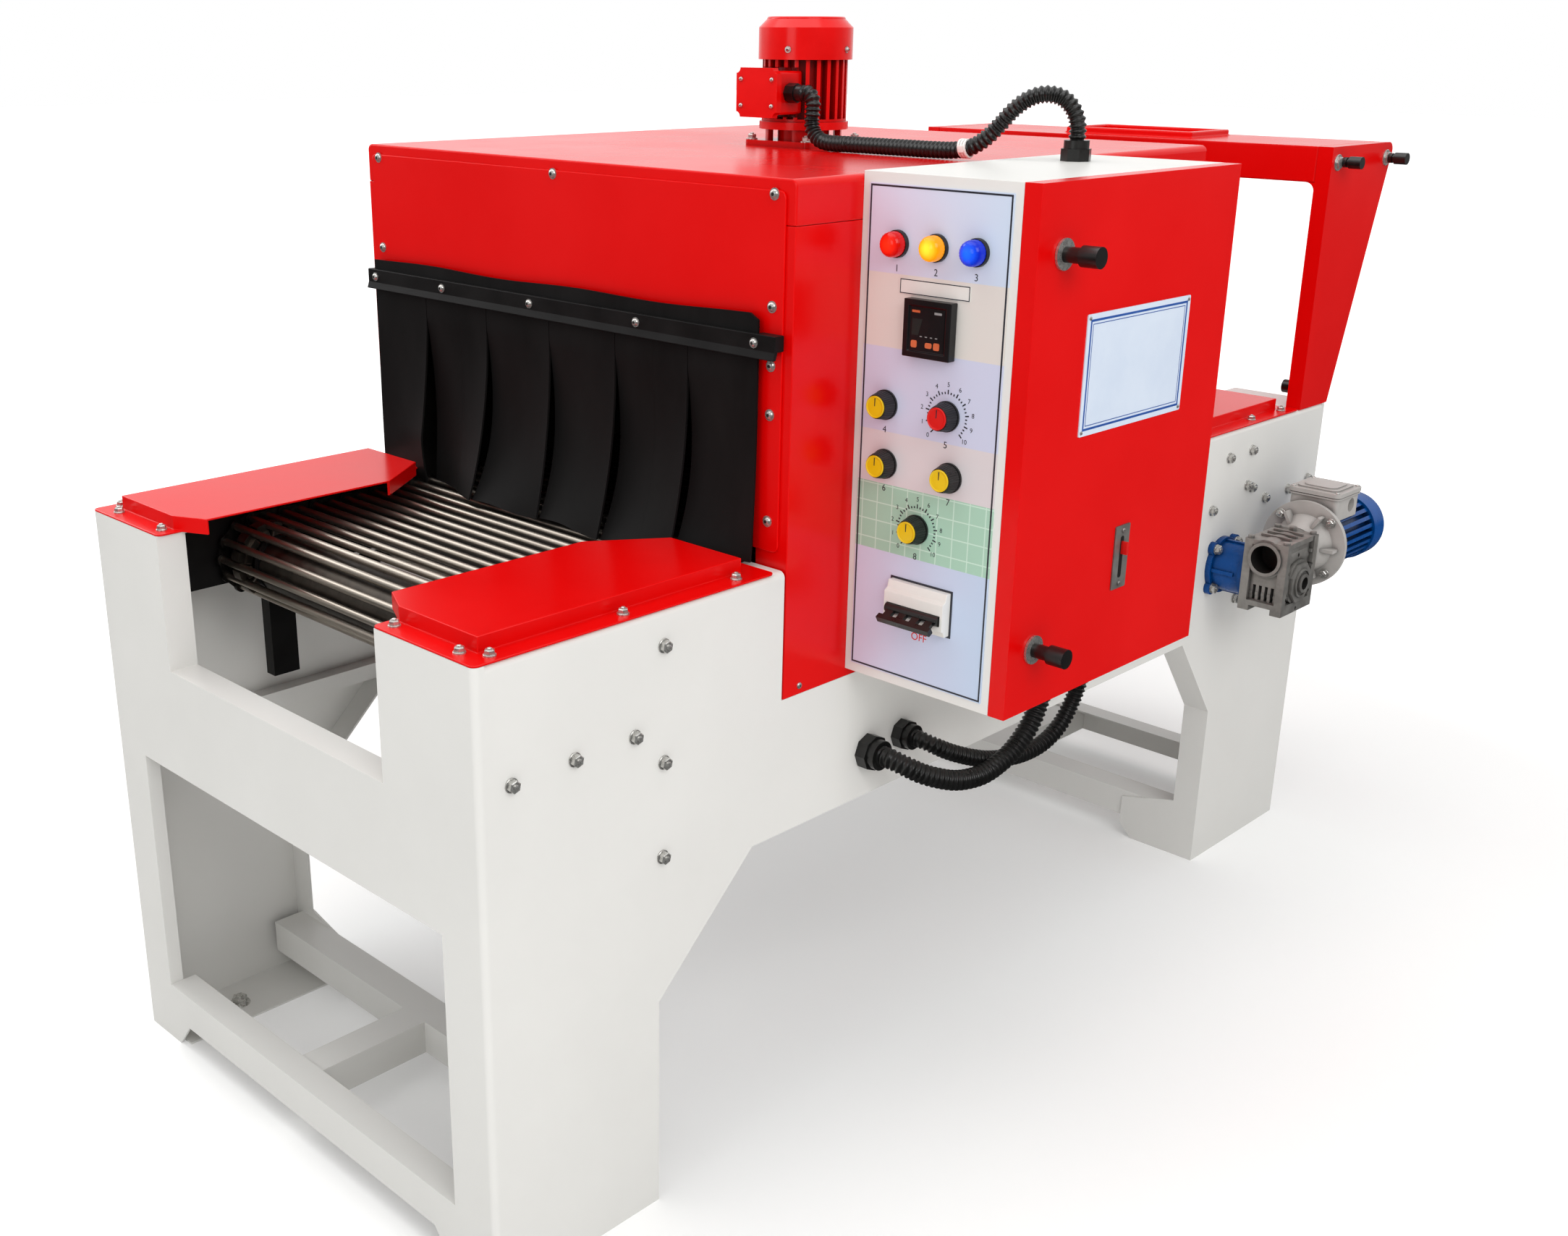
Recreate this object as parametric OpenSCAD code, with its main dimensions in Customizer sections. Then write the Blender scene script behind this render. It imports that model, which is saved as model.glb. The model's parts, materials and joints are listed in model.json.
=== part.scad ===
// Heat shrink tunnel: a chain-and-rod conveyor through a red heated hood on a folded sheet base.
// Millimetres, +Z up. The origin lies on the floor at the centre of the four anchor bolts.
// +X is the side that carries the control box, +Y runs from the infeed end to the outfeed end.

/* [Base frame] */
// Overall width across the side panels
base_w = 800; // [760:10:900]
// Overall length from end panel to end panel
base_l = 1830; // [1780:10:2000]
// Thickness of the folded base sheet
sheet = 3; // [2:0.5:4]
// Outer radius of the sheet bends
bend_r = 8; // [6:1:12]
// Height of the shoulders at both ends
shoulder_h = 766; // [700:1:830]
// Drop from the shoulders to the edge that carries the hood
deck_drop = 161; // [140:1:170]
// Width of the flange folded in along the shoulders
shoulder_flange = 60; // [45:1:75]
// Width of an infeed leg along the side
front_leg_w = 253; // [230:1:280]
// Width of an outfeed leg along the side
rear_leg_w = 295; // [270:1:320]
// Drop from the shoulders to the knee where a leg starts to slope
knee_drop = 486; // [450:1:520]
// Drop from the shoulders to the flat edge between the legs
arch_drop = 338; // [330:1:360]
// Distance from the base end to the flat edge between the legs
arch_inset = 409; // [380:1:440]
// Width of the flange folded in along legs and arch
leg_flange = 41; // [30:1:55]
// Width of the foot plate under a leg
foot_w = 96; // [85:1:120]
// Width of the toe plate at the foot of a leg
toe_w = 140; // [125:5:160]
// Height of the toe plate
toe_h = 75; // [60:5:90]
// Distance of an anchor hole from the side of the base
anchor_side = 55; // [40:1:65]
// Distance of an anchor hole from the end of the base
anchor_end = 112; // [80:1:130]
// Diameter of an anchor hole
anchor_d = 14; // [10:1:18]

/* [End panels] */
// Width of the corner columns beside the conveyor notch
column_w = 168; // [150:2:185]
// Depth of the edge folded in beside the notch
column_return = 39; // [25:1:45]
// Depth of the notch between the columns
notch_depth = 178; // [170:1:200]
// Height of the apron under the notch
apron_h = 147; // [120:1:160]
// Depth of the edges folded in on apron and rail
rail_flange = 38; // [25:1:45]
// Width of the end frame beside the lower window
stile_w = 73; // [60:1:85]
// Height of the bottom rail's top edge
rail_top = 90; // [80:1:110]
// Height of the relief under the bottom rail
rail_relief = 38; // [25:1:50]
// Width of a corner foot
corner_foot_w = 85; // [70:1:100]
// Size of the tubes between the legs
tube_size = 48; // [40:1:50]
// Wall of the tubes
tube_wall = 3; // [2:0.5:5]

/* [Conveyor] */
// Diameter of a conveyor rod
rod_d = 10; // [8:0.5:12]
// Distance from a rod's end to the side of the base
rod_clear = 104; // [100:1:120]
// Pitch of the chains and rods
rod_pitch = 24.4; // [22:0.2:26]
// Teeth of an end sprocket
end_teeth = 12; // [12:2:14]
// Teeth of a drive sprocket
drive_teeth = 26; // [24:2:28]
// Depth of the end shafts below the shoulders
shaft_drop = 71; // [69:1:76]
// Distance from the base end to the end shaft, before it is rounded to whole links
shaft_inset = 168; // [160:1:190]
// Diameter of the conveyor shafts
shaft_d = 30; // [25:1:35]
// Width of a sprocket
sprocket_w = 18; // [12:1:24]
// Distance of a sprocket's middle from the rod ends
sprocket_inset = 34; // [28:1:50]
// Thickness of a chain link plate
link_t = 3; // [2:0.5:4]
// Height of a chain link plate
link_h = 18; // [16:1:20]
// Distance of the drive shaft from the outfeed end of the base
drive_inset = 317; // [300:1:350]

/* [Hood] */
// Length of the hood
hood_l = 880; // [820:10:900]
// Shift of the hood's middle towards the infeed end
hood_shift = 20; // [0:1:40]
// Rise of the hood's top above the shoulders
hood_rise = 441; // [420:1:460]
// Thickness of the insulated walls and top
hood_wall = 50; // [40:1:52]
// Thickness of the mouth plates
plate_t = 3; // [2:0.5:4]
// Margin of the hood round a mouth plate
plate_margin = 13; // [10:1:20]
// Rise of the mouth plates' bottom edge above the shoulders
plate_rise = 19; // [15:1:30]
// Rise of the mouths' top edge above the shoulders
mouth_rise = 234; // [230:1:244]
// Distance of a mouth's edge from the side of the base
mouth_side = 52; // [51:1:60]

/* [Curtains] */
// Distance of a curtain's edge from the side of the base
curtain_side = 41; // [36:1:46]
// Distance of its other edge, the one away from the control box
curtain_far_side = 20; // [16:1:24]
// Width of an inner strip
strip_w = 130; // [120:1:140]
// Overhang of a clamp bar past the mouth plate
bar_over = 3; // [0:1:5]
// Thickness of the rubber
rubber_t = 3; // [2:0.5:4]
// Drop from the mouth's top edge to the line on which the strips swing
strip_drop = 15; // [10:1:22]
// Rise of a clamp bar's middle above the mouth's top edge
bar_rise = 25; // [22:1:30]
// Height of a clamp bar
bar_h = 27; // [22:1:30]
// Thickness of a clamp bar
bar_t = 5; // [4:0.5:8]
// Gap between mouth plate and curtain
curtain_gap = 7; // [6:0.5:10]

/* [Guard covers] */
// Width of a guard cover's flange sheet
cover_w = 172; // [165:1:175]
// Overhang of the lid over the conveyor
lid_over = 33; // [25:1:36]
// Height of the raised lid
lid_h = 20; // [16:1:30]
// Thickness of the cover sheet
cover_t = 2.5; // [2:0.5:4]
// Width of the bolting flange round the lid
cover_flange = 28; // [22:1:34]
// Length of the cut on the lid's corner beside the hood
lid_cut = 88; // [60:1:100]

/* [Control box] */
// Depth of the box out from the hood
box_d = 213; // [200:1:230]
// Width of the box along the hood
box_w = 414; // [400:2:440]
// Rise of the box's bottom above the edge that carries the hood
box_lift = 11; // [5:1:20]
// Height of the box
box_h = 595; // [580:1:610]
// Position of the box front along the machine
box_y = -344; // [-360:1:-330]
// Sheet thickness of the box
box_t = 3; // [2:0.5:4]
// Thickness of the door tray
door_t = 22; // [18:1:26]
// Distance of the latches from the top and bottom of the door
latch_inset = 75; // [60:1:90]
// Depth of the pilot lamps below the top of the box
lamp_drop = 76; // [60:1:80]
// Diameter of the selector knobs
knob_d = 30; // [26:1:34]
// Diameter of the pilot lamps
lamp_d = 29; // [24:1:32]

/* [Gear motor] */
// Centre distance of the worm gearbox
worm_centre = 40; // [36:1:44]
// Distance of the gearbox from the side panel
output_l = 64; // [55:1:80]
// Width of the gearbox across the output shaft
gear_w = 72; // [68:1:80]
// Length of the gearbox along the worm
gear_l = 100; // [90:1:110]
// Diameter of the motor flange
motor_flange_d = 138; // [130:1:150]
// Diameter of the motor body over its fins
motor_d = 102; // [96:1:112]
// Length of the motor from flange to cowl end
motor_l = 172; // [160:2:200]

/* [Blower motor] */
// Shift of the blower to the side of the control box
blower_x = 22; // [0:1:40]
// Diameter of the fan cowl
cowl_d = 129; // [120:1:140]
// Height of the fan cowl
cowl_h = 55; // [45:1:65]
// Height of the finned body
fin_h = 91; // [80:1:110]
// Side of the base plate
blower_base = 118; // [112:1:140]

/* [Gantry] */
// Depth of the gantry foot along the machine
gantry_foot = 97; // [80:1:110]
// Depth of the gantry at its top
gantry_top_l = 224; // [200:1:240]
// Rise of the gantry's top above the shoulders
gantry_rise = 422; // [400:1:440]
// Thickness of the gantry uprights
gantry_t = 25; // [20:1:32]
// Height of the gantry beam
gantry_beam_h = 56; // [45:1:70]

/* [Conduits] */
// Outer diameter of the heater conduit under the box
conduit_a_d = 27; // [24:1:28]
// Outer diameter of the motor conduit under the box
conduit_b_d = 23; // [20:1:24]
// Outer diameter of the blower conduit
conduit_c_d = 21; // [18:1:22]

/* [Hidden] */
$fn = 48;

white = "#E8E7E3";
red = "#D90B0B";
black = "#202020";
steel = "#A8A6A2";
cast_grey = "#9A9894";
motor_blue = "#0D4F9E";

hw = base_w / 2;
hl = base_l / 2;
eps = 0.01;
big = 3000;
clear = 0.3;
corner_wrap = bend_r + 6;
notch_half = hw - column_w;
hood_y0 = -hl + (base_l - hood_l) / 2 - hood_shift;
hood_y1 = hood_y0 + hood_l;

// Heights, all counted from the shoulders
deck_h = shoulder_h - deck_drop;
knee_z = shoulder_h - knee_drop;
arch_z = shoulder_h - arch_drop;
apron_top = shoulder_h - notch_depth;
apron_bottom = apron_top - apron_h;
shaft_z = shoulder_h - shaft_drop;
hood_h = shoulder_h + hood_rise;
plate_bottom = shoulder_h + plate_rise;
mouth_top = shoulder_h + mouth_rise;
strip_top = mouth_top - strip_drop;
bar_z = mouth_top + bar_rise;
gantry_h = shoulder_h + gantry_rise;
box_z = deck_h + box_lift;

// Chain loop: whole links on the straights, half a sprocket of links round each end
function pitch_r(teeth) = rod_pitch / (2 * sin(180 / teeth));
loop_r = pitch_r(end_teeth);
strand_n = floor((base_l - 2 * shaft_inset) / rod_pitch);
shaft_y = strand_n * rod_pitch / 2;
rod_r = rod_d / 2;
rod_half = hw - rod_clear;
sprocket_x = rod_half - sprocket_inset;
conveyor_top = shaft_z + loop_r + rod_r;
return_z = shaft_z - loop_r;
drive_z = return_z - pitch_r(drive_teeth);
drive_links = round((hl - drive_inset + shaft_y) / rod_pitch);
drive_line_y = -shaft_y + drive_links * rod_pitch;

// Pin k of the loop, counted from the infeed end along the top strand
function pin(k) =
    k < strand_n ? [-shaft_y + k * rod_pitch, shaft_z + loop_r] :
    k < strand_n + end_teeth / 2 ?
        let (a = 90 - (k - strand_n) * 360 / end_teeth)
        [shaft_y + loop_r * cos(a), shaft_z + loop_r * sin(a)] :
    k < 2 * strand_n + end_teeth / 2 ?
        [shaft_y - (k - strand_n - end_teeth / 2) * rod_pitch, shaft_z - loop_r] :
        let (a = 270 - (k - 2 * strand_n - end_teeth / 2) * 360 / end_teeth)
        [-shaft_y + loop_r * cos(a), shaft_z + loop_r * sin(a)];
pin_n = 2 * strand_n + end_teeth;

// Helpers

// Extrudes a (y, z) outline along X
module along_x(x0, x1) { translate([x0, 0, 0]) rotate([90, 0, 90]) linear_extrude(x1 - x0) children(); }
// Extrudes an (x, z) outline along Y
module along_y(y0, y1) { translate([0, y1, 0]) rotate([90, 0, 0]) linear_extrude(y1 - y0) children(); }
// Box between two corners
module slab(lo, hi) { translate(lo) cube(hi - lo); }
module mirrored_x() { children(); mirror([1, 0, 0]) children(); }
module rod_x(x0, x1, y, z, d) { translate([x0, y, z]) rotate([0, 90, 0]) cylinder(d = d, h = x1 - x0); }
module rod_y(y0, y1, x, z, d) { translate([x, y1, z]) rotate([90, 0, 0]) cylinder(d = d, h = y1 - y0); }

// Rectangle with round corners
module rounded_rect(w, l, r) {
    square([w - 2 * r, l], center = true);
    square([w, l - 2 * r], center = true);
    for (sx = [-1, 1], sy = [-1, 1]) translate([sx * (w / 2 - r), sy * (l / 2 - r)]) circle(r);
}

// Upright outline whose two top corners are round
module round_top(half, h, r) {
    translate([-half, -1]) square([2 * half, h - r + 1]);
    translate([-half + r, -1]) square([2 * (half - r), h + 1]);
    for (s = [-1, 1]) translate([s * (half - r), h - r]) circle(r);
}

// Unit normal of the line from a to b, turned to its left
function left_of(a, b) = let (d = b - a) [-d[1], d[0]] / norm(d);
// Corner points of a line moved sideways by d with mitred corners
function moved_line(p, d) = [for (i = [0:len(p) - 1])
    let (n0 = left_of(p[max(i - 1, 0)], p[max(i, 1)]),
         n1 = left_of(p[min(i, len(p) - 2)], p[min(i + 1, len(p) - 1)]))
    p[i] + (n0 + n1) * d / (1 + n0 * n1)];
// Strip of sheet along a bent line
module bent_strip(p, d) {
    q = moved_line(p, d);
    polygon(concat(p, [for (i = [len(q) - 1:-1:0]) q[i]]));
}

// Tube swept along a route, with flat ends square to the route
module swept_tube(route, d, side_ref, sides = 10) {
    n = len(route);
    rings = [for (i = [0:n - 1])
        let (t = route[min(i + 1, n - 1)] - route[max(i - 1, 0)],
             u0 = cross(side_ref, t), u = u0 / norm(u0),
             v0 = cross(t, u), v = v0 / norm(v0))
        [for (s = [0:sides - 1]) route[i] + (u * cos(s * 360 / sides) + v * sin(s * 360 / sides)) * d / 2]];
    points = [for (ring = rings) each ring];
    walls = [for (i = [0:n - 2], s = [0:sides - 1])
        let (a = i * sides + s, b = i * sides + (s + 1) % sides)
        each [[a, a + sides, b + sides], [a, b + sides, b]]];
    polyhedron(points, concat(walls,
        [[for (s = [0:sides - 1]) s]],
        [[for (s = [sides - 1:-1:0]) (n - 1) * sides + s]]));
}

// Base frame

// Folded skin of the sides, round along the top edges
module side_skin() {
    along_y(-hl + corner_wrap, hl - corner_wrap) difference() {
        round_top(hw, shoulder_h, bend_r);
        round_top(hw - sheet, shoulder_h - sheet, bend_r - sheet);
    }
}

// Folded skin of the ends, round at the upright corners
module end_skin() {
    difference() {
        linear_extrude(shoulder_h) rounded_rect(base_w, base_l, bend_r);
        translate([0, 0, -1]) linear_extrude(shoulder_h - sheet + 1)
            rounded_rect(base_w - 2 * sheet, base_l - 2 * sheet, bend_r - sheet);
    }
}

// Edge line of the opening between the legs, from the infeed foot to the outfeed foot
arch_line = [[-hl + front_leg_w, 0], [-hl + front_leg_w, knee_z], [-hl + arch_inset, arch_z],
    [hl - arch_inset, arch_z], [hl - rear_leg_w, knee_z], [hl - rear_leg_w, 0]];

module anchor_hole(sy) {
    translate([hw - anchor_side, sy * (hl - anchor_end), -1]) cylinder(d = anchor_d, h = sheet + 2);
}

// Toe plate in line with the leg's folded edge, with its lower inner corner cut
module toe(y0) {
    cut = toe_h / 3;
    x1 = hw - sheet;
    along_y(y0, y0 + sheet) polygon([[x1, 0], [x1 - toe_w + cut, 0], [x1 - toe_w, cut],
        [x1 - toe_w, toe_h], [x1 - leg_flange, toe_h + cut], [x1, toe_h + cut]]);
}

module side_panel(driven) {
    difference() {
        intersection() {
            side_skin();
            slab([hw - shoulder_flange, -hl, 0], [hw, hl, shoulder_h]);
        }
        slab([0, hood_y0, deck_h], [big, hood_y1, big]);
        along_x(0, big) polygon(concat(arch_line, [[hl - rear_leg_w, -1], [-hl + front_leg_w, -1]]));
        if (driven) rod_x(hw - sheet - 1, hw + 1, drive_line_y, drive_z, shaft_d + 2 * clear);
    }
    along_x(hw - sheet - leg_flange, hw - sheet) bent_strip(arch_line, sheet);
    toe(-hl + front_leg_w - sheet);
    toe(hl - rear_leg_w);
    difference() {
        union() {
            slab([hw - sheet - foot_w, -hl + bend_r, 0], [hw - sheet, -hl + front_leg_w, sheet]);
            slab([hw - sheet - foot_w, hl - rear_leg_w, 0], [hw - sheet, hl - bend_r, sheet]);
        }
        anchor_hole(-1);
        anchor_hole(1);
    }
}

module right_side_panel() { color(white) side_panel(true); }
module left_side_panel() { color(white) mirror([1, 0, 0]) side_panel(false); }

module end_cutouts() {
    foot_in = hw - corner_foot_w;
    foot_out = foot_in - rail_relief * 0.8;
    translate([-notch_half, apron_top]) square([2 * notch_half, big]);
    translate([-hw + stile_w, rail_top]) square([base_w - 2 * stile_w, apron_bottom - rail_top]);
    polygon([[-foot_in, -1], [-foot_in, 0], [-foot_out, rail_relief], [foot_out, rail_relief],
        [foot_in, 0], [foot_in, -1]]);
}

// End panel at the infeed end: columns, apron, bottom rail and their folded edges
module end_panel() {
    y1 = -hl + sheet;
    difference() {
        intersection() {
            end_skin();
            slab([-hw, -hl, 0], [hw, -hl + shoulder_flange, shoulder_h]);
        }
        mirrored_x() slab([hw - shoulder_flange, -hl + corner_wrap, -1], [big, big, big]);
        along_y(-big, big) end_cutouts();
    }
    mirrored_x() slab([notch_half, y1, apron_top],
        [notch_half + sheet, -hl + column_return, shoulder_h - sheet]);
    slab([-notch_half - sheet, y1, apron_top - sheet], [notch_half + sheet, -hl + rail_flange, apron_top]);
    slab([-hw + stile_w, y1, rail_top - sheet], [hw - stile_w, -hl + rail_flange, rail_top]);
    mirrored_x() slab([hw - stile_w, y1, rail_top - sheet],
        [hw - stile_w + sheet, -hl + rail_flange / 2, apron_bottom]);
}

module front_end_panel() { color(white) end_panel(); }
module rear_end_panel() { color(white) mirror([0, 1, 0]) end_panel(); }

module square_tube(size) {
    difference() {
        square(size, center = true);
        square(size - 2 * tube_wall, center = true);
    }
}

module leg_crossbar(y, z) {
    half = hw - sheet - leg_flange / 3;
    along_x(-half, half) translate([y, z]) square_tube(tube_size);
}

// Tube along the inside of a side panel, on the folded edge of the arch
module side_rail() {
    size = tube_size / 2;
    along_y(-hl + sheet + bend_r, hl - sheet - bend_r)
        translate([hw - sheet - size / 2, arch_z + sheet + size / 2]) square_tube(size);
}

module cross_rails() {
    z = rail_top - sheet - clear - tube_size / 2;
    y_front = -hl + front_leg_w - sheet - tube_size / 2;
    y_rear = hl - rear_leg_w + sheet + tube_size / 2;
    color(white) {
        leg_crossbar(y_front, z);
        leg_crossbar(y_rear, z);
        along_y(-hl + sheet, y_front - tube_size / 2) translate([-hw / 13, z]) square_tube(tube_size);
        along_y(y_rear + tube_size / 2, hl - sheet) translate([-hw / 13, z]) square_tube(tube_size);
        mirrored_x() side_rail();
    }
}

// Conveyor

module conveyor_rods() {
    color(steel) for (k = [0:pin_n - 1]) rod_x(-rod_half, rod_half, pin(k)[0], pin(k)[1], rod_d);
}

// Flat link plate between two pins, with round ends
module link_plate(a, b) {
    d = b - a;
    translate(a) rotate(atan2(d[1], d[0])) {
        translate([0, -link_h * 0.4]) square([norm(d), link_h * 0.8]);
        circle(d = link_h);
        translate([norm(d), 0]) circle(d = link_h);
    }
}

module chain() {
    for (k = [0:pin_n - 1]) {
        x = rod_half + (k % 2) * (link_t + clear);
        along_x(x, x + link_t) link_plate(pin(k), pin((k + 1) % pin_n));
    }
}

module conveyor_chains() { color(black) mirrored_x() chain(); }

// Toothed wheel whose gaps seat the rods; one gap stands at the angle a0
module sprocket(teeth, a0) {
    r = pitch_r(teeth);
    difference() {
        circle(r + rod_r * 0.7, $fn = 96);
        for (i = [0:teeth - 1]) rotate(a0 + i * 360 / teeth) {
            seat = rod_r + clear;
            translate([r, 0]) circle(seat);
            mouth = seat + rod_d * 0.6;
            polygon([[r, -seat], [r + rod_d, -mouth], [r + rod_d, mouth], [r, seat]]);
        }
    }
}

bearing_t = 24;
module shaft_with_sprockets(y, z, teeth, a0, x0, x1) {
    color(steel) {
        rod_x(x0, x1, y, z, shaft_d);
        mirrored_x() along_x(sprocket_x - sprocket_w / 2, sprocket_x + sprocket_w / 2)
            translate([y, z]) sprocket(teeth, a0);
        mirrored_x() rod_x(sprocket_x - sprocket_w, sprocket_x + sprocket_w, y, z, shaft_d * 1.6);
    }
}

shaft_end = hw - sheet - bearing_t / 3;
module front_shaft() { shaft_with_sprockets(-shaft_y, shaft_z, end_teeth, 90, -shaft_end, shaft_end); }
module rear_shaft() { shaft_with_sprockets(shaft_y, shaft_z, end_teeth, 90, -shaft_end, shaft_end); }
module drive_shaft() {
    shaft_with_sprockets(drive_line_y, drive_z, drive_teeth, 90, -shaft_end, hw + output_l);
}

// Flange bearing on the inner face of a side panel
module bearing(y, z, through) {
    x1 = hw - sheet;
    difference() {
        union() {
            rod_x(x1 - bearing_t, x1, y, z, shaft_d * 2);
            along_x(x1 - bearing_t / 2, x1) translate([y, z])
                rounded_rect(shaft_d * 2.7, shaft_d * 2.7, shaft_d / 3);
        }
        rod_x(x1 - bearing_t - 1, through ? x1 + 1 : shaft_end, y, z, shaft_d + 2 * clear);
    }
}

module shaft_bearings() {
    color(cast_grey) {
        mirrored_x() bearing(-shaft_y, shaft_z, false);
        mirrored_x() bearing(shaft_y, shaft_z, false);
        bearing(drive_line_y, drive_z, true);
        mirror([1, 0, 0]) bearing(drive_line_y, drive_z, false);
    }
}

// Black guides: a bed under the upper rods, rails under the rod ends, side plates and their brackets
guide_x = rod_half + 2 * (link_t + clear) + 6;
guide_end = shaft_y - loop_r * 1.5;
bracket_w = 40;
module guide_bracket(y, x1) {
    slab([guide_x + sheet, y - bracket_w / 2, shaft_z], [x1, y + bracket_w / 2, shaft_z + sheet]);
    slab([x1 - sheet, y - bracket_w / 2, shaft_z], [x1, y + bracket_w / 2, shaft_z + bracket_w]);
}
// Channel that hangs from a guide's side plate
module hanger(y) {
    z0 = return_z - hanger_l;
    slab([guide_x, y, z0], [guide_x + sheet, y + bracket_w, return_z + rod_d]);
    for (e = [y, y + bracket_w - sheet])
        slab([guide_x, e, z0], [guide_x + bracket_w / 2, e + sheet, return_z + rod_d]);
}
hanger_l = 140;
// Side plate, taller beyond the hood, with holes for the end shafts
module guide_plate() {
    y1 = hl - shoulder_flange - 2;
    low = return_z + rod_d;
    tall = shoulder_h - 2 * sheet - low;
    along_x(guide_x, guide_x + sheet) difference() {
        union() {
            translate([-y1, low]) square([2 * y1, conveyor_top - low]);
            translate([-y1, low]) square([y1 + hood_y0 - cover_end - 9, tall]);
            translate([hood_y1 + cover_end + 9, low]) square([y1 - hood_y1 - cover_end - 9, tall]);
        }
        for (s = [-1, 1]) translate([s * shaft_y, shaft_z]) circle(d = shaft_d + 10);
    }
}
module chain_guide() {
    pin_z = shaft_z + loop_r;
    shelf = pin_z - link_h / 2 - 1;
    hang_y = shaft_y - shaft_d / 2 - 7;
    slab([-eps, -guide_end, shelf - sheet], [guide_x + eps, guide_end, shelf]);
    slab([rod_half - 24, -guide_end, shelf - eps], [rod_half - 4, guide_end, pin_z - rod_r - clear]);
    guide_plate();
    hanger(-hang_y);
    hanger(hang_y - bracket_w);
    guide_bracket(hood_y0 + hood_l * 0.2, hw - hood_wall);
    guide_bracket(hood_y1 - hood_l * 0.2, hw - hood_wall);
    guide_bracket(hood_y0 - bracket_w * 3, hw - sheet);
    guide_bracket(hood_y1 + bracket_w * 3, hw - sheet);
}

module chain_guides() { color(black) mirrored_x() chain_guide(); }

// Hood

plate_y = plate_t;
hood_top_z = hood_h - hood_wall;
module hood_wall_right() {
    slab([hw - hood_wall, hood_y0 + plate_y, deck_h], [hw, hood_y1 - plate_y, hood_top_z]);
}
module hood_right_wall() { color(red) hood_wall_right(); }
module hood_left_wall() { color(red) mirror([1, 0, 0]) hood_wall_right(); }

module hood_top() {
    color(red) intersection() {
        slab([-hw, hood_y0 + plate_y, hood_top_z], [hw, hood_y1 - plate_y, hood_h]);
        along_y(hood_y0, hood_y1) round_top(hw, hood_h, bend_r);
    }
}

// Bolted plate round a mouth, an upside-down U
module mouth_plate() {
    half = hw - plate_margin;
    top = hood_h - plate_margin;
    along_y(hood_y0, hood_y0 + plate_t) difference() {
        translate([0, (top + plate_bottom) / 2]) rounded_rect(2 * half, top - plate_bottom, bend_r);
        translate([-hw + mouth_side, -big]) square([base_w - 2 * mouth_side, big + mouth_top]);
    }
}

module to_rear() { translate([0, hood_y0 + hood_y1, 0]) mirror([0, 1, 0]) children(); }
module front_mouth_plate() { color(red) mouth_plate(); }
module rear_mouth_plate() { color(red) to_rear() mouth_plate(); }

// Curtains: a clamped rubber sheet, its still outer strips and its swinging inner strips

curtain_half = hw - curtain_side;
curtain_far = hw - curtain_far_side;
bar_half = hw - plate_margin + bar_over;
swing_half = hw - cover_w - lid_over - 6;
slit = 2;
curtain_y = hood_y0 - curtain_gap - rubber_t / 2;
strip_bottom = conveyor_top + 6;
// Bar with its lower edge bent outwards, on a spacer at each end
module clamp_bar() {
    y1 = curtain_y - rubber_t / 2;
    y0 = y1 - bar_t;
    z0 = bar_z - bar_h / 2;
    bend = bar_h / 3;
    along_x(-bar_half, bar_half) polygon([[y1, z0 + bend], [y1, z0 + bar_h], [y0, z0 + bar_h],
        [y0, z0 + bend], [y0 - 3, z0], [y1 - 3, z0]]);
    slab([curtain_half + clear, y1, z0 + bend], [bar_half, hood_y0, z0 + bar_h]);
    slab([-bar_half, y1, z0 + bend], [-curtain_far - clear, hood_y0, z0 + bar_h]);
}
module front_clamp_bar() { color(black) clamp_bar(); }
module rear_clamp_bar() { color(black) to_rear() clamp_bar(); }

// Clamped edge and the still parts beside and behind the guard covers
module curtain_edges() {
    edge_z = strip_top + rubber_t / 2 + clear;
    step_x = hw - shoulder_flange - 6;
    low = shoulder_h + cover_t + 1;
    inner = swing_half + slit / 2;
    top = edge_z + eps;
    along_y(curtain_y - rubber_t / 2, curtain_y + rubber_t / 2) {
        translate([-curtain_far, edge_z]) square([curtain_half + curtain_far, bar_z + bar_h - edge_z]);
        for (m = [0, 1]) mirror([m, 0]) {
            outer = m == 0 ? curtain_half : curtain_far;
            polygon([[inner, strip_bottom], [step_x, strip_bottom], [step_x, low], [outer, low],
                [outer, top], [inner, top]]);
        }
    }
}
module front_curtain_edges() { color(black) curtain_edges(); }
module rear_curtain_edges() { color(black) to_rear() curtain_edges(); }

// Swinging strip; its top is round about the line that it swings on
module strip(x0, x1) {
    rod_x(x0, x1, curtain_y, strip_top, rubber_t);
    slab([x0, curtain_y - rubber_t / 2, strip_bottom], [x1, curtain_y + rubber_t / 2, strip_top]);
}
module curtain_strips() {
    edges = [-swing_half, -strip_w, 0, strip_w, swing_half];
    for (i = [0:3]) strip(edges[i] + slit / 2, edges[i + 1] - slit / 2);
}
module front_curtain_strips() { color(black) curtain_strips(); }
module rear_curtain_strips() { color(black) to_rear() curtain_strips(); }

// Guard covers: flanged lids on the shoulders, open on the side of the conveyor

// Lid outline; its inner corners are cut, more so beside the hood
module lid_outline(y0, y1, inset) {
    x0 = hw - cover_w - lid_over - inset;
    x1 = hw - cover_flange - inset;
    near = lid_cut / 2 + inset * 1.24;
    far = lid_cut + inset * 2.2;
    polygon([[x1, y0 + inset], [x1, y1 - inset], [x0 + far * 0.7, y1 - inset], [x0, y1 - inset - far],
        [x0, y0 + inset + near / 2], [x0 + near, y0 + inset]]);
}

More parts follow.
